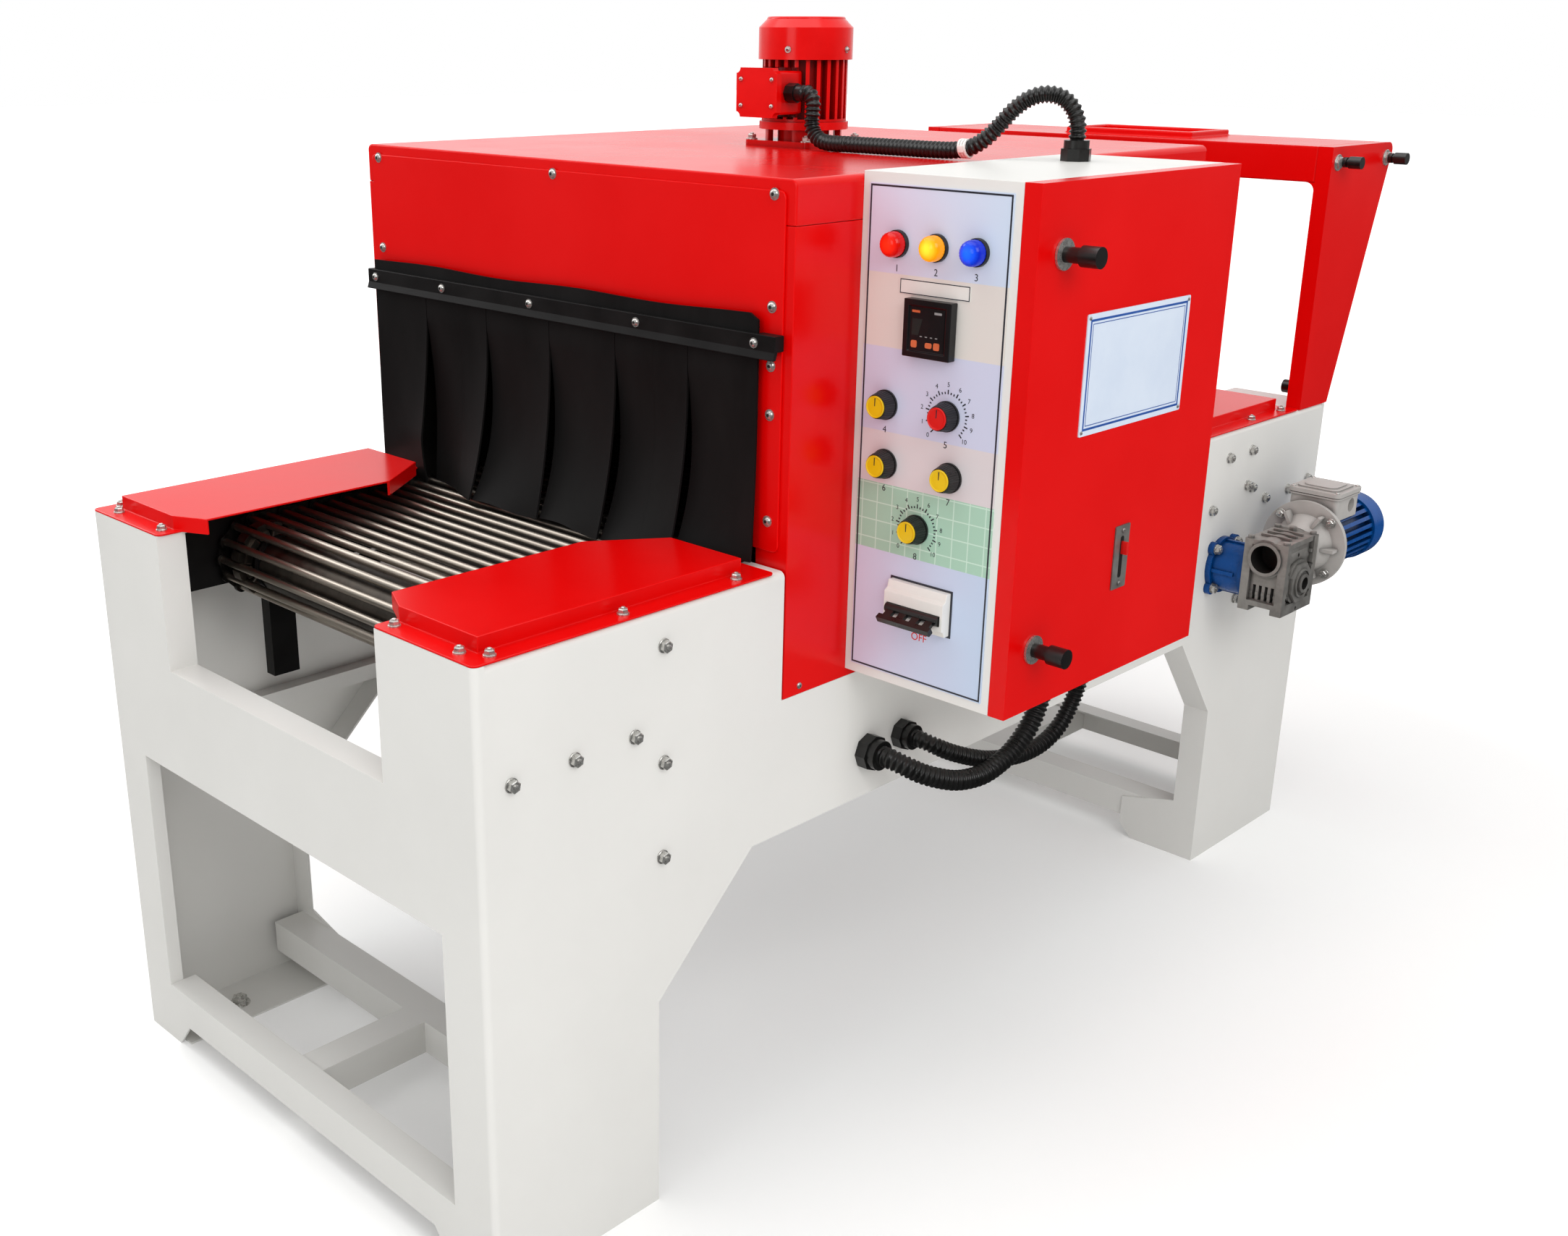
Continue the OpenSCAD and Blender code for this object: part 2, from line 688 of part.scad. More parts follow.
module guard_cover(y0, y1) {
    x0 = hw - cover_w;
    lid_y0 = y0 + cover_flange;
    lid_y1 = y1 - cover_flange;
    translate([0, 0, shoulder_h]) difference() {
        union() {
            linear_extrude(cover_t) difference() {
                translate([hw - cover_w / 2, (y0 + y1) / 2]) rounded_rect(cover_w, y1 - y0, bend_r);
                polygon([[x0 - 1, y1 + 1], [x0 - 1, lid_y1 - lid_cut], [x0 + lid_cut * 0.7, y1 + 1]]);
            }
            linear_extrude(lid_h) lid_outline(lid_y0, lid_y1, 0);
        }
        translate([0, 0, -1]) linear_extrude(lid_h - cover_t + 1) lid_outline(lid_y0, lid_y1, cover_t);
    }
}

cover_end = 16;
module front_guard_covers() { color(red) mirrored_x() guard_cover(-hl, hood_y0 - cover_end); }
gantry_y = hl - gantry_foot;
module rear_guard_covers() {
    color(red) mirrored_x() mirror([0, 1, 0]) guard_cover(3 - gantry_y, -hood_y1 - cover_end);
}

// Blower motor

blower_y = (hood_y0 + hood_y1) / 2;
blower_plate_t = 8;
neck_h = 15;
shield_h = 10;
fin_z0 = hood_h + blower_plate_t + neck_h;
cowl_z0 = fin_z0 + fin_h;
fin_n = 24;
module at_blower(z) { translate([blower_x, blower_y, z]) children(); }

// Base plate, an open pedestal on four legs, the end shield and the finned body
module blower_motor() {
    body_r = cowl_d * 0.34;
    leg_r = cowl_d * 0.41;
    color(red) at_blower(0) {
        translate([0, 0, hood_h]) linear_extrude(blower_plate_t)
            rounded_rect(blower_base, blower_base, bend_r);
        translate([0, 0, hood_h + blower_plate_t]) cylinder(r = body_r - 8, h = neck_h);
        translate([0, 0, hood_h + blower_plate_t]) difference() {
            cylinder(r = leg_r, h = neck_h);
            translate([0, 0, -1]) cylinder(r = leg_r - 9, h = neck_h + 2);
            for (a = [0, 90]) rotate(a) translate([-leg_r * 2, -22, -1]) cube([leg_r * 4, 44, neck_h + 2]);
        }
        translate([0, 0, fin_z0]) cylinder(r = cowl_d / 2 - 3, h = shield_h);
        translate([0, 0, fin_z0]) difference() {
            cylinder(r = cowl_d / 2 - 6, h = fin_h);
            for (i = [0:fin_n - 1]) rotate((i + 0.5) * 360 / fin_n)
                translate([body_r, -5, shield_h + 4]) cube([body_r, 10, fin_h]);
            translate([-tbox_w / 2 - clear, -cowl_d, tbox_z - fin_z0 - clear])
                cube([tbox_w + 2 * clear, cowl_d - body_r, tbox_h + 2 * clear]);
        }
    }
}

// Fan cowl with a sloping shoulder and a rounded rim, and its grille slots in the top
module blower_cowl() {
    r = cowl_d / 2;
    edge = 14;
    rim = 3;
    color(red) at_blower(cowl_z0) difference() {
        rotate_extrude($fn = 64) {
            square([r, cowl_h - edge]);
            polygon([[0, cowl_h - edge], [r, cowl_h - edge], [r - edge + rim, cowl_h - rim],
                [0, cowl_h - rim]]);
            square([r - edge, cowl_h]);
            translate([r - edge, cowl_h - rim]) circle(rim);
        }
        for (ring = [0.28, 0.44, 0.6], a = [0:5])
            rotate(a * 60) translate([r * ring, -r * ring * 0.42, cowl_h - 3]) cube([4, r * ring * 0.84, 4]);
    }
}

tbox_w = 74;
tbox_h = 64;
tbox_z = hood_h + 40;
tbox_d = 44;
tbox_back = blower_y - cowl_d * 0.34;
tbox_front = tbox_back - tbox_d - 10;
module blower_terminal_box() {
    color(red) translate([blower_x, 0, tbox_z + tbox_h / 2]) {
        along_y(tbox_front + 10, tbox_back) rounded_rect(tbox_w - 8, tbox_h - 8, 4);
        along_y(tbox_front, tbox_front + 10) difference() {
            square([tbox_w, tbox_h], center = true);
            for (sx = [-1, 1], sy = [-1, 1]) translate([sx * tbox_w / 2, sy * tbox_h / 2]) circle(7);
        }
    }
}

// Control box

box_x0 = hw;
box_x1 = hw + box_d;
box_y1 = box_y + box_w;
box_top = box_z + box_h;
module control_box() {
    color(white) difference() {
        slab([box_x0, box_y, box_z], [box_x1, box_y1, box_top]);
        slab([box_x0 + box_t, box_y + box_t, box_z + box_t], [box_x1 + 1, box_y1 - box_t, box_top - box_t]);
    }
    color(steel) for (z = hinge_z) knuckle(z, box_x1 - 28, hinge_x);
}

// Fascia overlay on the front of the box
fascia_t = 1.5;
fascia_y = box_y - fascia_t;
fascia_mid = 107;
fascia_x = box_x0 + fascia_mid;
module fascia() {
    color("#CFD3E6") slab([box_x0 + 10, fascia_y, box_z + 12], [box_x1 - 10, box_y, box_top - 12]);
}

lamp_pitch = 54;
lamp_z = box_top - lamp_drop;
module pilot_lamps() {
    colours = ["#D01818", "#F0A810", "#1848C8"];
    for (i = [0:2]) color(colours[i])
        translate([fascia_x + (i - 1) * lamp_pitch, fascia_y, lamp_z]) rotate([90, 0, 0]) {
            cylinder(d = lamp_d, h = 5);
            cylinder(d = lamp_d - 6, h = 14);
        }
}

controller_size = 64;
controller_rise = 431;
controller_z = box_z + controller_rise;
module temperature_controller() {
    half = controller_size / 2;
    color(black) difference() {
        slab([fascia_x - half, fascia_y - 12, controller_z - half],
            [fascia_x + half, fascia_y, controller_z + half]);
        slab([fascia_x - half + 7, fascia_y - 13, controller_z - half + 7],
            [fascia_x + half - 7, fascia_y - 10, controller_z + half - 7]);
    }
}

// Selector knobs: place on the fascia, across and up from the box's lower inner corner
knob_at = [[46, 337], [133, 337], [49, 268], [141, 268], [99, 199]];
module knob(i) {
    color(black) translate([box_x0 + knob_at[i][0], fascia_y - clear, box_z + knob_at[i][1]])
        rotate([90, 0, 0]) {
            cylinder(d = knob_d + 5, h = 2.5);
            cylinder(d1 = knob_d + 3, d2 = knob_d - 3, h = 18);
        }
}
module knob_1() { knob(0); }
module knob_2() { knob(1); }
module knob_3() { knob(2); }
module knob_4() { knob(3); }
module knob_5() { knob(4); }

// Four-pole breaker: stepped body with a trough that seats the toggle's hub
breaker_w = 85;
breaker_rise = 102;
breaker_in = 111;
breaker_z = box_z + breaker_rise;
breaker_x = box_x0 + breaker_in;
hub_d = 12;
toggle_w = 76;
hub_y = fascia_y - 14;
module breaker_body() {
    y0 = fascia_y;
    color(white) difference() {
        along_x(breaker_x - breaker_w / 2, breaker_x + breaker_w / 2) polygon([
            [y0, breaker_z - 20], [y0 - 9, breaker_z - 20], [y0 - 11, breaker_z - 14],
            [y0 - 15, breaker_z - 12], [y0 - 15, breaker_z + 20], [y0 - 10, breaker_z + 23],
            [y0 - 8, breaker_z + 32], [y0, breaker_z + 32]]);
        rod_x(breaker_x - toggle_w / 2 - 1, breaker_x + toggle_w / 2 + 1, hub_y, breaker_z,
            hub_d + 2 * clear);
    }
}
module breaker_toggle() {
    lever_r = 17;
    color(black) translate([0, hub_y, breaker_z]) {
        rod_x(breaker_x - toggle_w / 2, breaker_x + toggle_w / 2, 0, 0, hub_d);
        rotate([30, 0, 0]) {
            for (i = [-1.5:1:1.5])
                slab([breaker_x + i * 19 - 5, -lever_r, -2.5], [breaker_x + i * 19 + 5, 0, 2.5]);
            slab([breaker_x - toggle_w / 2, -lever_r - 5, -4], [breaker_x + toggle_w / 2, -lever_r + 2, 4]);
        }
    }
}

// Door: a folded tray over the box's open side, with its hinge knuckles
door_x0 = box_x1 + clear;
door_x1 = door_x0 + door_t;
door_y1 = box_y1 - 0.5;
latch_y = box_y + 48;
hinge_d = 12;
hinge_x = door_x0 + hinge_d / 2;
hinge_y = box_y1 + hinge_d / 2 + 1;
hinge_h = 30;
hinge_rise = [76, 488];
hinge_z = [box_z + hinge_rise[0], box_z + hinge_rise[1]];
module knuckle(z, x0, x1) {
    translate([hinge_x, hinge_y, z]) cylinder(d = hinge_d, h = hinge_h);
    slab([x0, box_y1, z], [x1, box_y1 + sheet, z + hinge_h]);
}
module control_door() {
    color(red) {
        difference() {
            slab([door_x0, box_y, box_z], [door_x1, door_y1, box_top]);
            slab([door_x0 - 1, box_y + sheet, box_z + sheet],
                [door_x1 - sheet, door_y1 - sheet, box_top - sheet]);
            for (z = latch_z) rod_x(door_x1 - sheet - 1, door_x1 + 1, latch_y, z, latch_d + 2 * clear);
        }
        for (z = hinge_z) {
            knuckle(z + hinge_h + clear, hinge_x, door_x1 - 2);
            slab([hinge_x, door_y1 - eps, z + hinge_h + clear],
                [door_x1 - 2, box_y1, z + 2 * hinge_h + clear]);
        }
    }
}

latch_d = 16;
latch_z = [box_z + latch_inset, box_top - latch_inset];
module latch(z) {
    color(black) {
        rod_x(door_x1 - sheet - 6, door_x1 + 2, latch_y, z, latch_d);
        rod_x(door_x1 + clear, door_x1 + 3, latch_y, z, 34);
        rod_x(door_x1 + 2, door_x1 + 42, latch_y, z, 17);
        rod_x(door_x1 + 24, door_x1 + 46, latch_y, z, 23);
    }
}
module upper_latch() { latch(latch_z[1]); }
module lower_latch() { latch(latch_z[0]); }

// Gear motor on the right side panel

gear_x0 = hw + output_l;
gear_x1 = gear_x0 + gear_w;
worm_x = (gear_x0 + gear_x1) / 2;
worm_z = drive_z + worm_centre;
gear_y0 = drive_line_y - gear_l / 2;
gear_y1 = gear_y0 + gear_l;
gear_bottom = drive_z - 48;
gear_top = worm_z + 32;
// Flange on the side panel: a disc with four ears, a tube and its ribs
module output_flange() {
    r = 46;
    color(motor_blue) difference() {
        union() {
            along_x(hw, hw + 9) translate([drive_line_y, drive_z]) {
                circle(r);
                for (a = [45:90:315]) rotate(a) translate([r, 0]) circle(11);
            }
            translate([hw + 8, drive_line_y, drive_z]) for (a = [0:90:270]) rotate([a, 0, 0])
                translate([0, 30, -3]) cube([output_l * 0.6, 13, 6]);
            rod_x(hw + 7, gear_x0 - 1, drive_line_y, drive_z, 80);
            rod_x(gear_x0 - 9, gear_x0, drive_line_y, drive_z, 90);
        }
        rod_x(hw - 1, gear_x0 + 1, drive_line_y, drive_z, shaft_d + 2 * clear);
    }
}

// Worm gearbox: ribbed housing with corner posts, feet, the worm's bore and the hollow output shaft
module gearbox() {
    rim = 7;
    post = 13;
    foot = 9;
    mid_y = (gear_y0 + gear_y1) / 2;
    color(cast_grey) difference() {
        union() {
            slab([gear_x0 + rim, gear_y0 + rim, gear_bottom + foot],
                [gear_x1 - rim, gear_y1 - rim, gear_top - 4]);
            slab([gear_x0, gear_y0, gear_bottom + foot], [gear_x1, gear_y1, gear_bottom + foot + 8]);
            slab([gear_x0 + 2, gear_y0, gear_top - 12], [gear_x1 - 2, gear_y1, gear_top - 4]);
            for (x = [gear_x0, gear_x1 - post], y = [gear_y0, gear_y1 - post]) {
                slab([x, y, gear_bottom], [x + post, y + post, gear_top - 4]);
                translate([x + post / 2, y + post / 2, gear_top - 8]) cylinder(d = post - 3, h = 8);
            }
            for (x = [gear_x0, gear_x1 - post - 5])
                slab([x, gear_y0, gear_bottom], [x + post + 5, gear_y1, gear_bottom + foot + 1]);
            for (i = [-1:1]) slab([gear_x0 + 12, mid_y + i * 20 - 2.5, gear_top - 5],
                [gear_x1 - 12, mid_y + i * 20 + 2.5, gear_top]);
            for (i = [-1, 1], z = [gear_bottom + 26, gear_top - 30])
                slab([gear_x0 + 1, mid_y + i * 38 - 6, z], [gear_x1 - 1, mid_y + i * 38 + 6, z + 5]);
            rod_y(gear_y0 - 3, gear_y1, worm_x, worm_z, 54);
            rod_y(gear_y0 + 1, gear_y1 - 1, worm_x, worm_z, 61);
            rod_x(gear_x0, gear_x1 - 1, drive_line_y, drive_z, 72);
            translate([gear_x1 - 2, drive_line_y, drive_z]) rotate([0, 90, 0]) rotate(22.5)
                cylinder(d = 66, h = 6, $fn = 8);
            rod_x(gear_x1 - 1, gear_x1 + 7, drive_line_y, drive_z, 46);
            rod_x(gear_x1 - 1, gear_x1 + 10, drive_line_y, drive_z, 30);
            translate([worm_x, mid_y + 34, gear_top - 6]) cylinder(d = 13, h = 10, $fn = 6);
        }
        rod_y(gear_y0 - 4, gear_y0 + 34, worm_x, worm_z, 44);
        rod_x(gear_x1 - 26, gear_x1 + 11, drive_line_y, drive_z, 20);
        difference() {
            rod_x(gear_x1 + 5, gear_x1 + 8, drive_line_y, drive_z, 40);
            rod_x(gear_x1 + 4, gear_x1 + 9, drive_line_y, drive_z, 30);
        }
        for (i = [-1.5:1:1.5]) slab([worm_x + i * 10 - 2.5, gear_y0 + rim - 1, gear_bottom + 18],
            [worm_x + i * 10 + 2.5, gear_y0 + rim + 12, gear_bottom + 42]);
        for (a = [30:60:330]) translate([gear_x1 - 10, drive_line_y, drive_z]) rotate([a, 0, 0])
            translate([0, 43, 0]) rotate([0, 90, 0]) cylinder(d = 6, h = 14);
    }
}

flange_cone_l = 26;
motor_flange_t = 12;
motor_y0 = gear_y1 + flange_cone_l + motor_flange_t;
// Ribbed cone, flange disc and the raised rim of the motor's own flange
module motor_flange() {
    disc_y = gear_y1 + flange_cone_l;
    color(cast_grey) {
        translate([worm_x, gear_y1, worm_z]) rotate([-90, 0, 0])
            cylinder(d1 = 62, d2 = 96, h = flange_cone_l);
        rod_y(disc_y, disc_y + motor_flange_t * 0.6, worm_x, worm_z, motor_flange_d);
        rod_y(disc_y + motor_flange_t * 0.6, motor_y0, worm_x, worm_z, motor_flange_d - 4);
        for (a = [0:60:300]) translate([worm_x, 0, worm_z]) rotate([0, a, 0])
            slab([28, gear_y1 + 8, -2.5], [motor_flange_d * 0.42, disc_y + 1, 2.5]);
    }
}

motor_cowl_l = 42;
module gear_motor() {
    y1 = motor_y0 + motor_l - motor_cowl_l;
    color(motor_blue) {
        difference() {
            rod_y(motor_y0, y1, worm_x, worm_z, motor_d);
            for (i = [0:fin_n - 1]) translate([worm_x, 0, worm_z]) rotate([0, (i + 0.5) * 360 / fin_n, 0])
                translate([motor_d * 0.38, motor_y0 + 14, -3.5]) cube([motor_d, y1 - motor_y0, 7]);
            slab([worm_x - mbox_w / 2 - clear, motor_y0, worm_z + motor_d * 0.38],
                [worm_x + mbox_w / 2 + clear, motor_y0 + mbox_l + mbox_gap + clear, big]);
        }
        translate([worm_x, y1, worm_z]) rotate([-90, 0, 0]) rotate_extrude() {
            square([motor_d / 2 - 6, motor_cowl_l]);
            square([motor_d / 2 + 3, motor_cowl_l - 9]);
            translate([motor_d / 2 - 6, motor_cowl_l - 9]) circle(9);
        }
    }
}

mbox_w = 80;
mbox_l = 78;
mbox_gap = 5;
mbox_h = 38;
lid_t = 8;
// Terminal box with an overhanging lid, its dome and the open cable entry
module motor_terminal_box() {
    z0 = worm_z + motor_d * 0.38;
    mid_y = motor_y0 + mbox_gap + mbox_l / 2;
    color(cast_grey) difference() {
        union() {
            translate([worm_x, mid_y, z0]) linear_extrude(mbox_h) rounded_rect(mbox_w, mbox_l, 7);
            translate([worm_x, mid_y, z0 + mbox_h - 3]) linear_extrude(3)
                rounded_rect(mbox_w + 5, mbox_l + 5, 9);
            translate([worm_x, mid_y, z0 + mbox_h + 1]) linear_extrude(lid_t - 1)
                rounded_rect(mbox_w + 7, mbox_l + 7, 10);
            translate([worm_x, mid_y, z0 + mbox_h - 1]) linear_extrude(lid_t) rounded_rect(mbox_w, mbox_l, 7);
            translate([worm_x, mid_y, z0 + mbox_h + lid_t - eps]) linear_extrude(2.5)
                rounded_rect(mbox_w - 12, mbox_l - 12, 10);
            translate([worm_x, mid_y, z0 + mbox_h + lid_t + 2]) linear_extrude(2.5)
                rounded_rect(mbox_w - 26, mbox_l - 26, 12);
        }
        rod_x(worm_x, worm_x + mbox_w, mid_y + mbox_l * 0.16, z0 + mbox_h * 0.52, 22);
    }
}

// Gantry over the outfeed end

gantry_y1 = gantry_y + gantry_top_l;
beam_z = gantry_h - gantry_beam_h;
// Rear edge of the gantry at a height
function gantry_rear(z) = hl + (gantry_y1 - hl) * (z - shoulder_h) / (gantry_h - shoulder_h);
gantry_r = 14;
// Full-height side with a round rear corner, and the round inner corner under the beam
module gantry_upright() {
    back = gantry_rear(gantry_h - gantry_r);
    along_x(hw - gantry_t, hw) {
        polygon([[gantry_y, shoulder_h], [hl, shoulder_h], [back, gantry_h - gantry_r],
            [back - gantry_r, gantry_h - gantry_r], [back - gantry_r, gantry_h], [gantry_y, gantry_h]]);
        translate([back - gantry_r, gantry_h - gantry_r]) circle(gantry_r);
    }
    along_y(gantry_y, gantry_rear(beam_z) - gantry_r) difference() {
        translate([hw - gantry_t - gantry_r, beam_z - gantry_r]) square([gantry_r + eps, gantry_r]);
        translate([hw - gantry_t - gantry_r, beam_z - gantry_r]) circle(gantry_r);
    }
}
module gantry_uprights() { color(red) mirrored_x() gantry_upright(); }

frame_w = 250;
frame_l = 130;
frame_bar = 12;
frame_h = 10;
module gantry_beam() {
    mid = (gantry_y + gantry_y1) / 2;
    color(red) {
        along_x(-hw + gantry_t, hw - gantry_t) polygon([[gantry_y, beam_z], [gantry_rear(beam_z), beam_z],
            [gantry_y1 - gantry_r / 2, gantry_h - gantry_r], [gantry_y1 - gantry_r, gantry_h],
            [gantry_y, gantry_h]]);
        translate([0, mid, gantry_h - eps]) linear_extrude(frame_h + eps) difference() {
            square([frame_w, frame_l], center = true);
            square([frame_w - 2 * frame_bar, frame_l - 2 * frame_bar], center = true);
        }
    }
}

// Place of each clamp knob from the gantry's front edge and from its top
knob_spots = [[30, 24], [198, 25]];
stem_d = 12;
stem_l = 24;
collar_d = 16;
collar_x = [6, 12];
grip_d = 19;
grip_x = [16, 36];
inner_knob_d = 22;
inner_knob_l = 18;
inner_knob_in = 22;
inner_knob_rise = 32;
module gantry_knobs() {
    color(black) for (k = knob_spots) {
        y = gantry_y + k[0];
        z = gantry_h - k[1];
        rod_x(hw, hw + stem_l, y, z, stem_d);
        rod_x(hw + collar_x[0], hw + collar_x[1], y, z, collar_d);
        rod_x(hw + grip_x[0], hw + grip_x[1], y, z, grip_d);
    }
    x = hw - gantry_t;
    color(black) rod_x(x - inner_knob_l, x, gantry_y + inner_knob_in, shoulder_h + inner_knob_rise,
        inner_knob_d);
}

// Conduits and their glands

// Route of the heater conduit, from the side panel to the box, counted from the box's lower inner edge
heater_points = [[26, -294, -126], [41, -294, -126], [58, -287, -132], [72, -272, -142], [84, -254, -150],
    [94, -232, -157], [101, -208, -160], [106, -184, -159], [109, -160, -153], [112, -137, -143],
    [114, -116, -128], [115, -98, -110], [115, -84, -88], [115, -74, -64], [115, -68, -41],
    [115, -68, -24]];
heater_route = [for (p = heater_points) p + [hw, 0, box_z]];
// Route of the motor conduit, counted in the same way
motor_points = [[24, -225, -122], [37, -225, -122], [50, -218, -127], [60, -203, -136], [68, -186, -144],
    [75, -166, -152], [81, -144, -159], [86, -120, -164], [91, -96, -167], [95, -72, -167],
    [99, -48, -163], [102, -26, -154], [104, -6, -140], [105, 10, -121], [106, 22, -99],
    [107, 30, -75], [107, 35, -48], [107, 35, -24]];
motor_route = [for (p = motor_points) p + [hw, 0, box_z]];
// Route of the blower conduit over the hood to the box top, counted from the hood's top
blower_points = [[81, -88, 72], [90, -88, 72], [98, -89, 63], [99, -90, 49], [99, -91, 35], [104, -92, 23],
    [116, -93, 14], [134, -94, 11], [165, -95, 11], [200, -95, 11], [235, -95, 11], [270, -95, 11],
    [305, -95, 11], [338, -94, 12], [362, -92, 17], [380, -87, 29], [394, -81, 45], [408, -75, 62],
    [424, -67, 75], [441, -59, 80], [457, -51, 77], [469, -46, 67], [476, -43, 53], [478, -42, 40],
    [478, -42, 28]];
blower_route = [for (p = blower_points) p + [0, 0, hood_h]];

// Octagonal gland nut with its collar, along +X from its seat
module gland(d, l) {
    difference() {
        union() {
            cylinder(d = d * 1.75, h = l * 0.6, $fn = 8);
            cylinder(d = d * 1.45, h = l);
        }
        translate([0, 0, l]) mirror([0, 0, 1]) cylinder(d = d * 0.5, h = l * 0.4);
    }
}
module conduit_glands() {
    color(black) {
        translate([hw, heater_route[0][1], heater_route[0][2]]) rotate([0, 90, 0])
            gland(conduit_a_d, heater_route[0][0] - hw);
        translate([hw, motor_route[0][1], motor_route[0][2]]) rotate([0, 90, 0])
            gland(conduit_b_d, motor_route[0][0] - hw);
        translate([heater_route[15][0], heater_route[15][1], box_z]) rotate([180, 0, 0])
            gland(conduit_a_d, box_z - heater_route[15][2]);
        translate([motor_route[17][0], motor_route[17][1], box_z]) rotate([180, 0, 0])
            gland(conduit_b_d, box_z - motor_route[17][2]);
        translate([blower_x + tbox_w / 2 - 4, blower_route[0][1], blower_route[0][2]]) rotate([0, 90, 0])
            gland(conduit_c_d * 0.7, blower_route[0][0] - blower_x - tbox_w / 2 + 4);
        translate([blower_route[24][0], blower_route[24][1], box_top])
            gland(conduit_c_d, blower_route[24][2] - box_top);
    }
}
module heater_conduit() { color(black) swept_tube(heater_route, conduit_a_d, [1, 0, 0.35]); }
module motor_conduit() { color(black) swept_tube(motor_route, conduit_b_d, [1, 0, 0.35]); }
module blower_conduit() { color(black) swept_tube(blower_route, conduit_c_d, [0.3, 1, 0]); }

right_side_panel();
left_side_panel();
front_end_panel();
rear_end_panel();
cross_rails();
conveyor_rods();
conveyor_chains();
front_shaft();
rear_shaft();
drive_shaft();
shaft_bearings();
chain_guides();
hood_left_wall();
hood_right_wall();
hood_top();
front_mouth_plate();
rear_mouth_plate();
front_clamp_bar();
rear_clamp_bar();
front_curtain_edges();
rear_curtain_edges();
front_curtain_strips();
rear_curtain_strips();
front_guard_covers();
rear_guard_covers();
blower_motor();
blower_cowl();
blower_terminal_box();
conduit_glands();
heater_conduit();
motor_conduit();
blower_conduit();
control_box();
fascia();
pilot_lamps();
temperature_controller();
knob_1();
knob_2();
knob_3();
knob_4();
knob_5();
breaker_body();
breaker_toggle();
control_door();
upper_latch();
lower_latch();
output_flange();
gearbox();
motor_flange();
gear_motor();
motor_terminal_box();
gantry_uprights();
gantry_beam();
gantry_knobs();
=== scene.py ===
"""Heat shrink tunnel: finishes, curtains, conduits, drums, fasteners and the printed control panel.

Metres, in the part's own frame: +Z up, +X towards the control box, +Y from infeed to outfeed.
"""

import json
import math

import bmesh
import bpy
from mathutils import Matrix, Vector, noise


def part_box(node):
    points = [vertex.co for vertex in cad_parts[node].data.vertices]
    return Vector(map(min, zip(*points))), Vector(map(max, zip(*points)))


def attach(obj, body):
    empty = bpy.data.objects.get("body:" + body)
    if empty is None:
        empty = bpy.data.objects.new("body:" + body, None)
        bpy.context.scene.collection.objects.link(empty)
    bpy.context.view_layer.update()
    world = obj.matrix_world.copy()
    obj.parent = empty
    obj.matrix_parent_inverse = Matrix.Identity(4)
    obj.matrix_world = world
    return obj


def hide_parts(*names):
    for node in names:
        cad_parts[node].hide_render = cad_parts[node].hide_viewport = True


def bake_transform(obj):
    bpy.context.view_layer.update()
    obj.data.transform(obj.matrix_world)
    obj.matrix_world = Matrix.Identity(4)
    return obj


MM = 0.001

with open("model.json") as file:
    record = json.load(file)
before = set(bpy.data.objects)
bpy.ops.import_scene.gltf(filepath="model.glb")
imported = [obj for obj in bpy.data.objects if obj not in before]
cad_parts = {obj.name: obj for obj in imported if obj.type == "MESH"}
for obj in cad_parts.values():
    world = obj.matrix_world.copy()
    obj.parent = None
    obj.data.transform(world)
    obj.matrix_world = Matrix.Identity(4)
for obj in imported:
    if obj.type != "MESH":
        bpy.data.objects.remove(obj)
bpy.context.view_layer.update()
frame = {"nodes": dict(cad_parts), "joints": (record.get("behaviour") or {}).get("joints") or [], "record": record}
nodes = frame["nodes"]
pivots = {joint["child"]: Vector(joint["pos_m"]) for joint in frame["joints"]}


def mm(*values):
    """A point given in millimetres."""
    return Vector(values) * MM


# Colours and shader nodes


def linear(hex_colour):
    """An sRGB hex colour as a linear RGBA value."""
    parts = [int(hex_colour[i : i + 2], 16) / 255 for i in (1, 3, 5)]
    return [c / 12.92 if c <= 0.04045 else ((c + 0.055) / 1.055) ** 2.4 for c in parts] + [1.0]


def add(tree, kind, links=None, values=None, **settings):
    """Adds one shader node with its settings, its socket values and the links into it."""
    made = tree.nodes.new(kind)
    for name, value in settings.items():
        setattr(made, name, value)
    for socket, value in (values or {}).items():
        made.inputs[socket].default_value = value
    for socket, source in (links or {}).items():
        tree.links.new(source, made.inputs[socket])
    return made


def per_metre(size_mm):
    """Texture scale at which one feature of the pattern is about size_mm wide."""
    return 1000 / size_mm


def surface(name, colour, **sockets):
    """A material with one shader whose constant values sit on its own sockets."""
    made = bpy.data.materials.new(name)
    made.use_nodes = True
    inputs = made.node_tree.nodes["Principled BSDF"].inputs
    inputs["Base Color"].default_value = linear(colour)
    for socket, value in sockets.items():
        inputs[socket.replace("_", " ")].default_value = value
    return made


def feed(made, socket, source):
    """Links a node's output into a socket of the material's shader."""
    tree = made.node_tree
    tree.links.new(source, tree.nodes["Principled BSDF"].inputs[socket])


def place(tree, kind="Object"):
    """Coordinates of the shaded point."""
    return add(tree, "ShaderNodeTexCoord").outputs[kind]


def scaled(tree, scale):
    """Coordinates of the shaded point, scaled along each axis."""
    made = add(tree, "ShaderNodeMapping", links={"Vector": place(tree)}, values={"Scale": scale})
    return made.outputs["Vector"]


def cloudy(tree, size_mm, stretch, detail, roughness):
    """Soft random pattern with features of that size, drawn out along an axis whose stretch is small."""
    values = {"Scale": per_metre(size_mm), "Detail": detail, "Roughness": roughness}
    made = add(tree, "ShaderNodeTexNoise", links={"Vector": scaled(tree, stretch)}, values=values)
    return made.outputs["Fac"]


